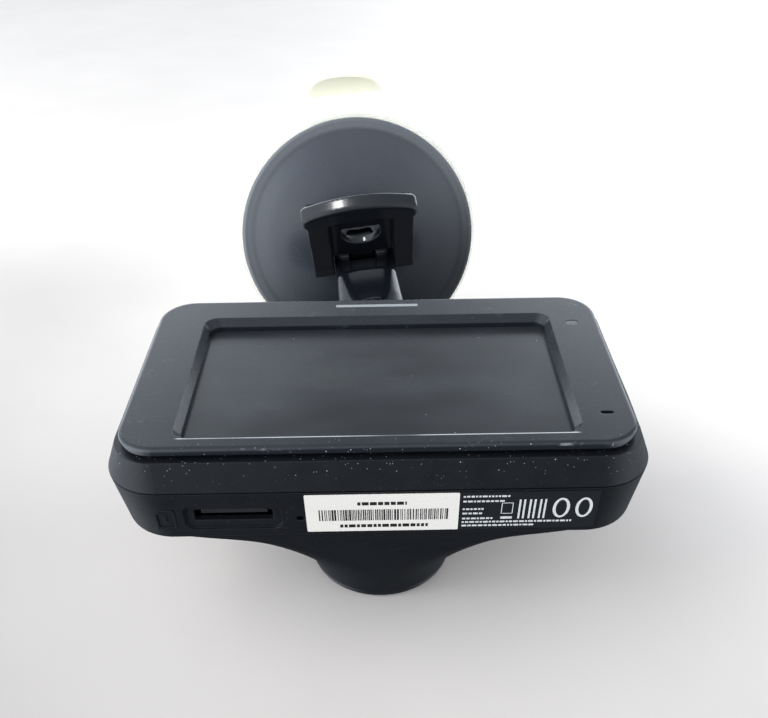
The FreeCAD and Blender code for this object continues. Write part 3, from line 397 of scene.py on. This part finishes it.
def window_lip(tree):
    """Painted highlight: a thin pale line along the lower lip of the screen window, where its rounded edge
    catches light, and pale patches along the step's edge.
    """
    height = along(tree, (0, 0, 1), cam(0, 0, 0))
    depth = along(tree, (0, 1, 0), cam(0, 0, 0))
    side = along(tree, (1, 0, 0), cam(0, 0, 0))
    across = band(tree, side, -LIP_HALF_W, LIP_HALF_W, 1.0)
    lip = calc(tree, "MULTIPLY", band(tree, height, LIP_LOW, LIP_HIGH, 0.06), across)
    lip = calc(tree, "MULTIPLY", lip, ramp(tree, noise(tree, 70, 3.0), 0.32, 0.55, 0.25, 1.0))
    step = calc(tree, "MULTIPLY", band(tree, height, -0.1, 0.35, 0.1), band(tree, depth, 0.25, 0.5, 0.1))
    patches = ramp(tree, noise(tree, 110, 4.0, 0.7), 0.60, 0.70, 0.0, 0.45)
    step = calc(tree, "MULTIPLY", step, patches)
    return calc(tree, "MAXIMUM", lip, step)


def dome_lip(tree):
    """The flat lip around the dome is a shade lighter than its cap."""
    squares = [calc(tree, "POWER", along(tree, axis), 2.0) for axis in (ACROSS, UPGLASS)]
    radius = calc(tree, "SQRT", calc(tree, "ADD", squares[0], squares[1]), 0.0)
    return ramp(tree, radius, DOME_R - 2.8, DOME_R - 1.6, 0.0, 0.17, smooth=True)


def dome_plastic():
    """Smooth plastic with painted shade: darker and less reflective low on the dome's right, where the
    lever, arm and camera shade it, and paler near the top.
    """
    material = plastic("m_dome", (0.024, 0.029, 0.039), 0.26, 0.3, 0.08, coat=0.2, edge_mm=0.3,
                       paler_where=dome_lip)
    tree = material.node_tree
    shader = tree.nodes["Principled BSDF"]
    # Painted shade: colour and reflection strength fall off towards the dome's lower right.
    shade = ramp(tree, along(tree, UPGLASS * 0.94 - ACROSS * 0.34), -24, 8, 0.26, 1.0, smooth=True)
    scaled = add(tree, "ShaderNodeVectorMath", operation="SCALE")
    plug(tree, shader.inputs["Base Color"].links[0].from_socket, scaled.inputs[0])
    plug(tree, shade, scaled.inputs["Scale"])
    plug(tree, scaled.outputs[0], shader.inputs["Base Color"])
    plug(tree, calc(tree, "MULTIPLY", shade, 0.85), shader.inputs["Specular IOR Level"])
    return material


MATERIALS = {
    # The bezel's window lip and step carry a painted highlight in pale grey.
    "bezel": plastic("m_bezel", (0.0085, 0.0105, 0.0145), 0.27, 0.35, 0.05, dust=0.9, wear=0.5,
                     spec=0.46, edge_mm=0.25, dust_where=groove_dust, polish_where=bezel_step,
                     paler_where=window_lip),
    "shell": plastic("m_shell", (0.0050, 0.0058, 0.0080), 0.40, 0.22, 0.22, dust=0.8, wear=0.15,
                     spec=0.42, edge_mm=0.22, dust_where=rim_dust),
    "dark_steel": metal("m_dark_steel", (0.09, 0.09, 0.10), 0.35),
    "screen": screen_film(),
    "light_metal": metal("m_light_metal", (0.62, 0.63, 0.65), 0.35),
    "film_white": plastic("m_film_white", (0.80, 0.81, 0.83), 0.5),
    "flex_amber": plastic("m_flex_amber", (0.45, 0.20, 0.04), 0.3, coat=0.4),
    "circuit_board": circuit_board(),
    "chip": plastic("m_chip", (0.014, 0.014, 0.016), 0.5, 0.12, 0.2),
    "tinned_steel": metal("m_tinned_steel", (0.66, 0.67, 0.68), 0.28),
    "foil": metal("m_foil", (0.60, 0.61, 0.63), 0.4, brushed=False),
    "ceramic": plastic("m_ceramic", (0.55, 0.50, 0.38), 0.5),
    "button": plastic("m_button", (0.018, 0.020, 0.024), 0.38, 0.25, 0.12, edge_mm=0.3),
    "cone": plastic("m_cone", (0.03, 0.03, 0.03), 0.6, 0.2, 0.3),
    "soft_black": plastic("m_soft_black", (0.012, 0.012, 0.013), 0.7, 0.2, 0.2),
    "light_pipe": plastic("m_light_pipe", (0.016, 0.018, 0.021), 0.15, coat=0.3, edge_mm=0.2),
    "ring": plastic("m_ring", (0.008, 0.009, 0.011), 0.16, 0.4, 0.02, coat=0.6, edge_mm=0.2, dust=0.2),
    "lens": optical_glass(),
    "lens_tube": plastic("m_lens_tube", (0.010, 0.010, 0.011), 0.6, 0.15, 0.3),
    "label_white": paper("m_label_white", (0.86, 0.81, 0.745), 0.45),
    "label_black": paper("m_label_black", (0.012, 0.013, 0.016), 0.35),
    "mount_gloss": plastic("m_mount_gloss", (0.0045, 0.0055, 0.008), 0.20, 0.5, 0.03, coat=0.2,
                           spec=0.42, edge_mm=0.35, wear=0.3),
    "mount_matte": plastic("m_mount_matte", (0.010, 0.012, 0.015), 0.40, 0.25, 0.15, edge_mm=0.25),
    "gel": soft_clear("m_gel", (0.95, 0.945, 0.88), (0.95, 0.94, 0.86), 0.72, 30, 40),
    "clear_rubber": soft_clear("m_clear_rubber", (0.97, 0.965, 0.93), (0.93, 0.89, 0.72), 0.55, 35.2, 36.0),
    "dome": dome_plastic(),
    "liner": plastic("m_liner", (0.72, 0.71, 0.66), 0.45),
}
for entry in RECORD["subparts"]:
    node = NODES[entry["node"]]
    node.data.materials.clear()
    node.data.materials.append(MATERIALS[entry["material_slot"]])

# ---------------------------------------------------------------- mesh helpers


def piece_from(name, vertices, faces, slot, body, smooth=True):
    """New visible piece that rides on a CAD body."""
    mesh = bpy.data.meshes.new(name)
    mesh.from_pydata([tuple(v) for v in vertices], [], faces)
    mesh.validate()
    mesh.update()
    piece = bpy.data.objects.new(name, mesh)
    bpy.context.scene.collection.objects.link(piece)
    mesh.materials.append(MATERIALS[slot])
    for polygon in mesh.polygons:
        polygon.use_smooth = smooth
    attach(piece, body)
    return piece


def body_of(node_name):
    """Name of the body that holds a CAD node."""
    for body, nodes in RECORD["behaviour"]["bodies"].items():
        if node_name in nodes:
            return body
    return "root"


def lathe(name, profile, slot, body, segments=192):
    """Surface of revolution about the cup's axis, from (radius, height) points in millimetres."""
    vertices = []
    for radius, height in profile:
        for i in range(segments):
            turn = 2 * math.pi * i / segments
            vertices.append(cup(radius * math.cos(turn), radius * math.sin(turn), height))
    faces = []
    for row in range(len(profile) - 1):
        for i in range(segments):
            j = (i + 1) % segments
            a, b = row * segments + i, row * segments + j
            faces.append((a, b, b + segments, a + segments))
    return piece_from(name, vertices, faces, slot, body)


def arc(centre, radius, start_deg, end_deg, steps):
    """Points of a circular arc in a (radius, height) profile."""
    points = []
    for i in range(steps + 1):
        turn = math.radians(start_deg + (end_deg - start_deg) * i / steps)
        points.append((centre[0] + radius * math.cos(turn), centre[1] + radius * math.sin(turn)))
    return points


def softened(name, node_name, voxel_mm, passes, slot=None):
    """Copy of a CAD node with its sharp edges rounded off by a fine remesh and smoothing."""
    source = NODES[node_name]
    copy = bpy.data.objects.new(name, source.data.copy())
    bpy.context.scene.collection.objects.link(copy)
    copy.matrix_world = source.matrix_world.copy()
    weld = copy.modifiers.new("weld", "WELD")
    weld.merge_threshold = 0.001 * MM
    remesh = copy.modifiers.new("remesh", "REMESH")
    remesh.mode = "VOXEL"
    remesh.voxel_size = voxel_mm * MM
    remesh.use_smooth_shade = True
    smooth = copy.modifiers.new("smooth", "SMOOTH")
    smooth.factor = 0.5
    smooth.iterations = passes
    depsgraph = bpy.context.evaluated_depsgraph_get()
    mesh = bpy.data.meshes.new_from_object(copy.evaluated_get(depsgraph))
    copy.modifiers.clear()
    copy.data = mesh
    for polygon in mesh.polygons:
        polygon.use_smooth = True
    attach(copy, body_of(node_name))
    slot = slot or next(e["material_slot"] for e in RECORD["subparts"] if e["node"] == node_name)
    mesh.materials.clear()
    mesh.materials.append(MATERIALS[slot])
    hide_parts(node_name)
    return copy


# ---------------------------------------------------------------- mount: dome, lever, shoe and nut


def cap_height(radius, rim_r, low, high):
    """Height of a round cap at a radius."""
    rise = high - low
    ball_r = (rim_r ** 2 + rise ** 2) / (2 * rise)
    return high - ball_r + math.sqrt(ball_r ** 2 - radius ** 2)


def dome_shell():
    """Smooth outer skin of the dome: rolled edge, flat lip and shallow cap."""
    foot_h = 2.9
    roll_r = 1.0
    lip_h = 5.0
    crown_h = 9.2
    slope_r = DOME_R - 2.4
    hole_r = 0.2
    proud = 0.30
    steps = 24
    roll_h = lip_h - roll_r
    profile = [(DOME_R + proud, foot_h), (DOME_R + proud, roll_h)]
    profile += arc((DOME_R - roll_r + proud, roll_h + proud), roll_r, 10, 90, 8)
    profile += [(DOME_R - 1.4, lip_h + 0.04 + proud), (slope_r + 0.5, lip_h + 0.12 + proud)]
    for i in range(steps + 1):
        share = i / steps
        radius = slope_r * (1 - share) + hole_r * share
        lift = proud + 0.2 * min(1.0, i / 4)
        profile.append((radius, cap_height(radius, slope_r, lip_h + 0.15, crown_h) + lift))
    return lathe("dome_skin", profile, "dome", body_of("mount_base"))


softened("mount_body", "mount_base", 0.40, 5, "mount_gloss")
dome_shell()
LEVER_PIECE = softened("lever_soft", "lever", 0.24, 4)
softened("shoe_soft", "mount_shoe", 0.25, 3)
softened("nut_soft", "locking_nut", 0.25, 2)

# ---------------------------------------------------------------- mount: soft cup and pull tab


def soft_cup():
    """Soft disc with a round outer lip, fuller towards its middle, and a collar for the stud."""
    face_h = 0.85
    lip_r = 0.8
    lip_h = 1.6
    centre_r = 0.3
    web_h = 3.12
    collar_h = 4.5
    collar_in, collar_out = 8.3, 11.0
    profile = [(centre_r, face_h), (CUP_R - lip_r, face_h)]
    profile += arc((CUP_R - lip_r, lip_h), lip_r, -80, 80, 10)
    profile += [(24.0, 2.6), (collar_out, 3.3), (collar_out, collar_h), (collar_in, collar_h),
                (collar_in, web_h), (centre_r, web_h)]
    disc = lathe("cup_disc", profile, "clear_rubber", body_of("suction_cup"), 160)
    disc.data.materials[0] = MATERIALS["gel"]
    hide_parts("suction_cup")


def pull_tab():
    """Flat tongue, then a half-round flap bent away from the glass."""
    turn = math.radians(4.2)
    half_w = 9.3
    start = CUP_R - 4.0
    fold = CUP_R + 4.4
    flap = 5.4
    offset = -1.2
    seat_h = 1.5
    side_rise = 0.25
    tip_half_w = 0.15
    sheet = 1.1
    edge_round = 0.3
    bend = math.radians(52)
    flat_rows, flap_rows, columns = 6, 16, 24
    bend_r = flap / bend
    spine = []
    for i in range(flat_rows):
        spine.append((start + (fold - start) * i / flat_rows, 0.0, half_w))
    for i in range(flap_rows + 1):
        share = i / flap_rows
        angle = bend * share
        width = half_w * math.sqrt(max(0.0, 1 - share ** 2.2))
        up = fold + bend_r * math.sin(angle)
        spine.append((up, bend_r * (1 - math.cos(angle)), max(width, tip_half_w)))
    vertices = []
    for up, rise, width in spine:
        for j in range(columns + 1):
            x = offset + width * (2 * j / columns - 1)
            crown = side_rise * ((x - offset) / half_w) ** 2
            turned_x = x * math.cos(turn) + up * math.sin(turn)
            turned_up = up * math.cos(turn) - x * math.sin(turn)
            vertices.append(cup(turned_x, turned_up, seat_h + rise + crown))
    faces = []
    for i in range(len(spine) - 1):
        for j in range(columns):
            a = i * (columns + 1) + j
            faces.append((a, a + 1, a + columns + 2, a + columns + 1))
    tab = piece_from("pull_tab", vertices, faces, "clear_rubber", body_of("suction_cup"))
    thick = tab.modifiers.new("thick", "SOLIDIFY")
    thick.thickness = sheet * MM
    thick.offset = 0
    rounding = tab.modifiers.new("rounding", "BEVEL")
    rounding.width = edge_round * MM
    rounding.segments = 3


soft_cup()
pull_tab()

# ---------------------------------------------------------------- printed matter, all generic


def label_plane(node_name, thickness_mm):
    """Maps (x, down the label, lift) in millimetres onto a label's outer face."""
    low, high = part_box(node_name)
    start = Vector((low.x, low.y, low.z))
    slope = math.atan2(high.z - low.z - thickness_mm * MM, high.y - low.y)
    down = Vector((0, math.cos(slope), math.sin(slope)))
    outward = Vector((0, math.sin(slope), -math.cos(slope)))
    size = ((high.x - low.x) / MM, (high.y - low.y) / MM / math.cos(slope))

    def place(x, along_label, lift):
        return start + (Vector((1, 0, 0)) * x + down * along_label + outward * lift) * MM

    return place, size


PRINT_FOOT = 0.004
PRINT_LIFT = 0.02


def bars(name, place, rectangles, slot, body, lift=PRINT_LIFT):
    """Thin flat bars on a face, from (x0, x1, along0, along1) in millimetres."""
    vertices = []
    faces = []
    for x0, x1, a0, a1 in rectangles:
        first = len(vertices)
        for height in (PRINT_FOOT, lift):
            for x, a in ((x0, a0), (x1, a0), (x1, a1), (x0, a1)):
                vertices.append(place(x, a, height))
        for quad in ((4, 5, 6, 7), (0, 3, 2, 1), (0, 1, 5, 4), (1, 2, 6, 5), (2, 3, 7, 6), (3, 0, 4, 7)):
            faces.append(tuple(first + k for k in quad))
    return piece_from(name, vertices, faces, slot, body, smooth=False)


def ring_bar(cx, ca, outer_x, outer_a, wide, steps=28):
    """Quads that together make an oval outline, from its centre, half axes and line width."""
    quads = []
    for i in range(steps):
        ring = []
        for k, grow in ((i, 0), (i + 1, 0), (i + 1, wide), (i, wide)):
            turn = 2 * math.pi * k / steps
            ring.append((cx + (outer_x - grow) * math.cos(turn), ca + (outer_a - grow) * math.sin(turn)))
        quads.append(ring)
    return quads


def quad_piece(name, place, quads, slot, body, lift):
    """Flat piece on a face, from quads of (x, along) points in millimetres."""
    vertices = []
    faces = []
    for quad in quads:
        first = len(vertices)
        vertices += [place(x, a, lift) for x, a in quad]
        faces.append(tuple(range(first, first + 4)))
    return piece_from(name, vertices, faces, slot, body, smooth=False)


def ink(name, colour):
    """Printing ink: near flat, with a little uneven cover."""
    material, tree, shader = new_material(name)
    cover = ramp(tree, noise(tree, 2600, 2.0), 0.25, 0.6, 0.8, 1.0)
    tone = add(tree, "ShaderNodeVectorMath", operation="SCALE")
    tone.inputs[0].default_value = colour
    plug(tree, cover, tone.inputs["Scale"])
    plug(tree, tone.outputs[0], shader.inputs["Base Color"])
    shader.inputs["Roughness"].default_value = 0.5
    return material


def white_label_print():
    """A row of plain stripes with a thin dashed rule above and below."""
    place, (width, length) = label_plane("white_label", 0.12)
    chance = random.Random(5)
    stripes = []
    stripes_end = width * 0.93
    x = width * 0.085
    while x < stripes_end:
        thick = chance.choice((0.12, 0.12, 0.2, 0.3))
        stripes.append((x, x + thick, length * 0.40, length * 0.70))
        x += thick + chance.choice((0.12, 0.16, 0.26))
    rules = []
    half_tall = length * 0.085 / 2
    gap = 0.22
    for start, end, at in ((0.34, 0.66, 0.24), (0.22, 0.80, 0.85)):
        x = width * start
        while x < width * end:
            dash = chance.choice((0.5, 0.8, 1.1))
            middle = length * at
            rules.append((x, min(x + dash, width * end), middle - half_tall, middle + half_tall))
            x += dash + gap
    piece = bars("white_label_print", place, stripes + rules, "label_white", "camera")
    piece.data.materials[0] = ink("m_ink_black", (0.012, 0.012, 0.014))


def rating_label_print():
    """Plain rules, one framed square with a bar, three pairs of posts and two rings."""
    place, (width, length) = label_plane("rating_label", 0.08)
    chance = random.Random(8)
    rules = []
    half_tall = length * 0.022
    gap = 0.18
    for at, end in ((0.10, 0.36), (0.23, 0.30), (0.44, 0.17), (0.56, 0.17), (0.70, 0.24),
                    (0.80, 0.82), (0.90, 0.52)):
        x = width * 0.02
        while x < width * end:
            dash = chance.choice((0.35, 0.55, 0.8))
            rules.append((x, x + dash, length * at - half_tall, length * at + half_tall))
            x += dash + gap
    left, right = width * 0.30, width * 0.385
    top, bottom = length * 0.28, length * 0.58
    line = 0.13
    rules += [(left, right, top, top + line),
              (left, right, bottom - line, bottom),
              (left, left + line, top, bottom),
              (right - line, right, top, bottom),
              (left, right, length * 0.66, length * 0.72)]
    post = 0.32
    post_pitch = 0.75
    for i in range(3):
        for x in (width * (0.425 + 0.075 * i), width * (0.425 + 0.075 * i) + post_pitch):
            rules.append((x, x + post, length * 0.20, length * 0.72))
    piece = bars("rating_label_print", place, rules, "label_black", "camera")
    white = ink("m_ink_white", (0.72, 0.72, 0.71))
    piece.data.materials[0] = white
    rings = []
    for centre in (0.735, 0.90):
        rings += ring_bar(width * centre, length * 0.44, width * 0.062, length * 0.27, 0.5)
    marks = quad_piece("rating_label_rings", place, rings, "label_black", "camera", PRINT_LIFT)
    marks.data.materials[0] = white


def bezel_print():
    """One plain printed bar above the screen."""
    def place(x, down, lift):
        return cam(x, -lift, down)

    middle = BEZEL_H * 0.942
    half_w = 8.0
    half_tall = 0.45
    rectangle = (-half_w, half_w, middle - half_tall, middle + half_tall)
    pale = bars("bezel_print", place, [rectangle], "bezel", "camera")
    pale.data.materials[0] = ink("m_ink_grey", (0.27, 0.28, 0.29))


def card_sign():
    """Raised outline of a small card with a cut corner, and a contact mark, beside the card slot."""
    low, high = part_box("white_label")
    slope = math.atan2(high.z - low.z, high.y - low.y)
    rise = math.tan(slope)
    at_y = (low.y - CAMERA_ORIGIN.y) / MM
    at_z = (low.z - CAMERA_ORIGIN.z) / MM + 0.12

    def place(x, y, lift):
        return cam(x, y, at_z + (y - at_y) * rise - lift)

    line = 0.28
    raised = 0.16
    left, right = -36.6, -33.4
    near, far = 11.8, 16.4
    corner_x, corner_y = 1.3, 1.2
    step_y = near + corner_y / 2
    bars("card_sign", place, [
        (left, left + line, near + corner_y, far),
        (left, right, far - line, far),
        (right - line, right, near, far),
        (left + corner_x, right, near, near + line),
        (left + 0.5, left + corner_x, step_y, step_y + line),
        (-35.3, -34.7, 13.2, 14.6),
    ], "shell", "camera", raised)


white_label_print()
rating_label_print()
bezel_print()
card_sign()


def card_contacts():
    """Gold contact pads on the memory card."""
    low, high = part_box("memory_card")
    width = (high.x - low.x) / MM
    tall = (high.z - low.z) / MM

    def place(x, up, lift):
        return Vector((low.x, low.y, low.z)) + Vector((x, -lift, up)) * MM

    pads = []
    for i in range(8):
        x = width * (0.10 + 0.103 * i)
        pads.append((x, x + width * 0.07, tall * 0.74, tall * 0.93))
    gold = bars("card_contacts", place, pads, "chip", body_of("memory_card"))
    gold.data.materials[0] = metal("m_gold", (0.83, 0.60, 0.25), 0.25, brushed=False)


card_contacts()

# ---------------------------------------------------------------- camera, light and floor

VIEW_RIGHT = Vector((1.0, 0.0129, -0.0104)).normalized()
VIEW_FORWARD = Vector((0.0015, 0.5558, 0.8315)).normalized()
CAMERA_PLACE = cam(0.98, -87.49, -106.5)
FOCAL_MM = 41.25
SENSOR_MM = 36.0


def place_camera():
    """Camera where the viewer stands, with its right side level along VIEW_RIGHT."""
    data = bpy.data.cameras.new("camera")
    data.lens = FOCAL_MM
    data.sensor_width = SENSOR_MM
    data.clip_start = 0.01
    data.clip_end = 20
    camera = bpy.data.objects.new("camera", data)
    bpy.context.scene.collection.objects.link(camera)
    back = -VIEW_FORWARD
    up = back.cross(VIEW_RIGHT).normalized()
    right = up.cross(back)
    camera.matrix_world = Matrix((
        (right.x, up.x, back.x, CAMERA_PLACE.x),
        (right.y, up.y, back.y, CAMERA_PLACE.y),
        (right.z, up.z, back.z, CAMERA_PLACE.z),
        (0, 0, 0, 1)))
    bpy.context.scene.camera = camera


def area_light(name, place, target, size, power, glossy=True):
    """Square lamp that faces a target; glossy says whether reflections show it."""
    data = bpy.data.lights.new(name, "AREA")
    data.size = size
    data.energy = power
    light = bpy.data.objects.new(name, data)
    bpy.context.scene.collection.objects.link(light)
    light.location = place
    light.rotation_euler = (Vector(target) - Vector(place)).to_track_quat("-Z", "Y").to_euler()
    light.visible_glossy = glossy
    return light


# Lit parts of the room: direction, cosine where each starts and where it is full, and strength.
ROOM = [
    ((-1.0, -0.15, 0.0), 0.15, 0.92, 1.25),   # window on the left
    ((1.0, -0.10, 0.0), 0.30, 0.95, 0.75),    # pale wall on the right
    ((-0.42, -0.20, 0.88), 0.87, 0.96, 2.2),  # two bright patches behind the table
    ((0.42, -0.20, 0.88), 0.87, 0.96, 2.5),
    ((0.0, -0.30, 0.95), 0.50, 0.97, 0.45),   # dimmer wall around them
    ((-0.3, -1.0, -0.4), 0.25, 0.95, 0.85),   # ceiling
    ((-0.75, 0.0, -0.66), 0.62, 0.96, 0.80),  # lighter walls either side of the viewer
    ((0.80, 0.0, -0.60), 0.66, 0.97, 0.55),
]
ROOM_AMBIENT = 0.10
ROOM_TINT = (0.85, 0.92, 1.0, 1)


def world_light():
    """Soft room light: bright on the left and above, dark where the viewer stands."""
    world = bpy.data.worlds.new("world")
    world.use_nodes = True
    tree = world.node_tree
    background = tree.nodes["Background"]
    direction = add(tree, "ShaderNodeTexCoord").outputs["Generated"]

    def lobe(towards, wide, narrow, amount):
        dot = add(tree, "ShaderNodeVectorMath", operation="DOT_PRODUCT")
        plug(tree, direction, dot.inputs[0])
        dot.inputs[1].default_value = tuple(Vector(towards).normalized())
        return ramp(tree, dot.outputs["Value"], wide, narrow, 0.0, amount, smooth=True)

    total = ROOM_AMBIENT
    for towards, wide, narrow, amount in ROOM:
        total = calc(tree, "ADD", total, lobe(towards, wide, narrow, amount))
    background.inputs["Color"].default_value = ROOM_TINT
    plug(tree, total, background.inputs["Strength"])
    bpy.context.scene.world = world


def floor():
    """Pale table behind the lens and the cup, with painted shade in its colour: darker near the lens and to
    the left, paler far away and to the right. Only the camera sees it, and only from the front.
    """
    lens_rest = cam(0, 41.6, 6)
    cup_rest = cam(0, 45.3, 97)
    away = (cup_rest - lens_rest).normalized()
    across = Vector((1, 0, 0))
    half_size = 2.5
    # Painted shade: the table's colour is darker near the lens than far away.
    near_shaded_tone, far_pale_tone = (0.500, 0.466, 0.443), (0.770, 0.722, 0.680)
    mesh = bpy.data.meshes.new("floor")
    corners = [lens_rest + across * (half_size * i) + away * (half_size * j)
               for i, j in ((-1, -1), (1, -1), (1, 1), (-1, 1))]
    mesh.from_pydata([tuple(c) for c in corners], [], [(0, 1, 2, 3)])
    table = bpy.data.objects.new("floor", mesh)
    bpy.context.scene.collection.objects.link(table)
    material, tree, shader = new_material("floor_pale")
    distance = along(tree, away, lens_rest)
    tone = mix_colour(tree, ramp(tree, distance, -60, 110, smooth=True), near_shaded_tone, far_pale_tone)
    paper_grain = ramp(tree, noise(tree, 30, 3.0), 0.3, 0.7, 0.98, 1.02)
    # Painted shade: darker to the left, lighter to the right, and a darker patch on the left.
    side = along(tree, across, lens_rest)
    side_painted_shade = ramp(tree, side, -120, 120, 0.93, 1.15, smooth=True)
    left_painted_shade = calc(tree, "MULTIPLY", ramp(tree, side, -20, -110, 0.0, 0.22, smooth=True),
                       band(tree, distance, -40, 120, 80))
    side_painted_shade = calc(tree, "SUBTRACT", side_painted_shade, left_painted_shade)
    scaled = add(tree, "ShaderNodeVectorMath", operation="SCALE")
    plug(tree, tone, scaled.inputs[0])
    plug(tree, calc(tree, "MULTIPLY", paper_grain, side_painted_shade), scaled.inputs["Scale"])
    plug(tree, scaled.outputs[0], shader.inputs["Base Color"])
    shader.inputs["Roughness"].default_value = 1.0
    shader.inputs["Specular IOR Level"].default_value = 0.0
    clear = add(tree, "ShaderNodeBsdfTransparent")
    facing = add(tree, "ShaderNodeNewGeometry").outputs["Backfacing"]
    choose = add(tree, "ShaderNodeMixShader")
    plug(tree, facing, choose.inputs[0])
    plug(tree, shader.outputs[0], choose.inputs[1])
    plug(tree, clear.outputs[0], choose.inputs[2])
    plug(tree, choose.outputs[0], tree.nodes["Material Output"].inputs["Surface"])
    mesh.materials.append(material)
    for ray in ("visible_diffuse", "visible_glossy", "visible_transmission", "visible_shadow"):
        setattr(table, ray, False)


def lever_glint():
    """Small window reflection that falls on the lever alone."""
    lean = math.radians(43.5)
    reach, stand_off, left_of_middle = 24.6, 5.9, 4.4
    crest_slope = 0.125
    distance = 0.2
    along_lever = INWARD * math.cos(lean) + UPGLASS * math.sin(lean)
    outward = INWARD * math.sin(lean) - UPGLASS * math.cos(lean)
    from_pin = along_lever * reach + outward * stand_off - ACROSS * left_of_middle
    spot = Vector(JOINTS["lever_lock"]["pos_m"]) + from_pin * MM
    normal = (along_lever - ACROSS * crest_slope).normalized()
    sight = (spot - CAMERA_PLACE).normalized()
    mirrored = sight - normal * (2 * sight.dot(normal))
    light = area_light("glint", spot + mirrored * distance, spot, 0.023, 0.07)
    lit = bpy.data.collections.new("glint_receiver")
    lit.objects.link(LEVER_PIECE)
    light.light_linking.receiver_collection = lit


place_camera()
world_light()
lever_glint()
area_light("key", cam(-420, -330, -40), cam(0, 10, 50), 0.40, 1.7, glossy=False)
area_light("fill", cam(60, -260, -420), cam(0, 10, 10), 0.45, 0.92, glossy=False)
floor()
bpy.context.scene.view_settings.view_transform = "Standard"
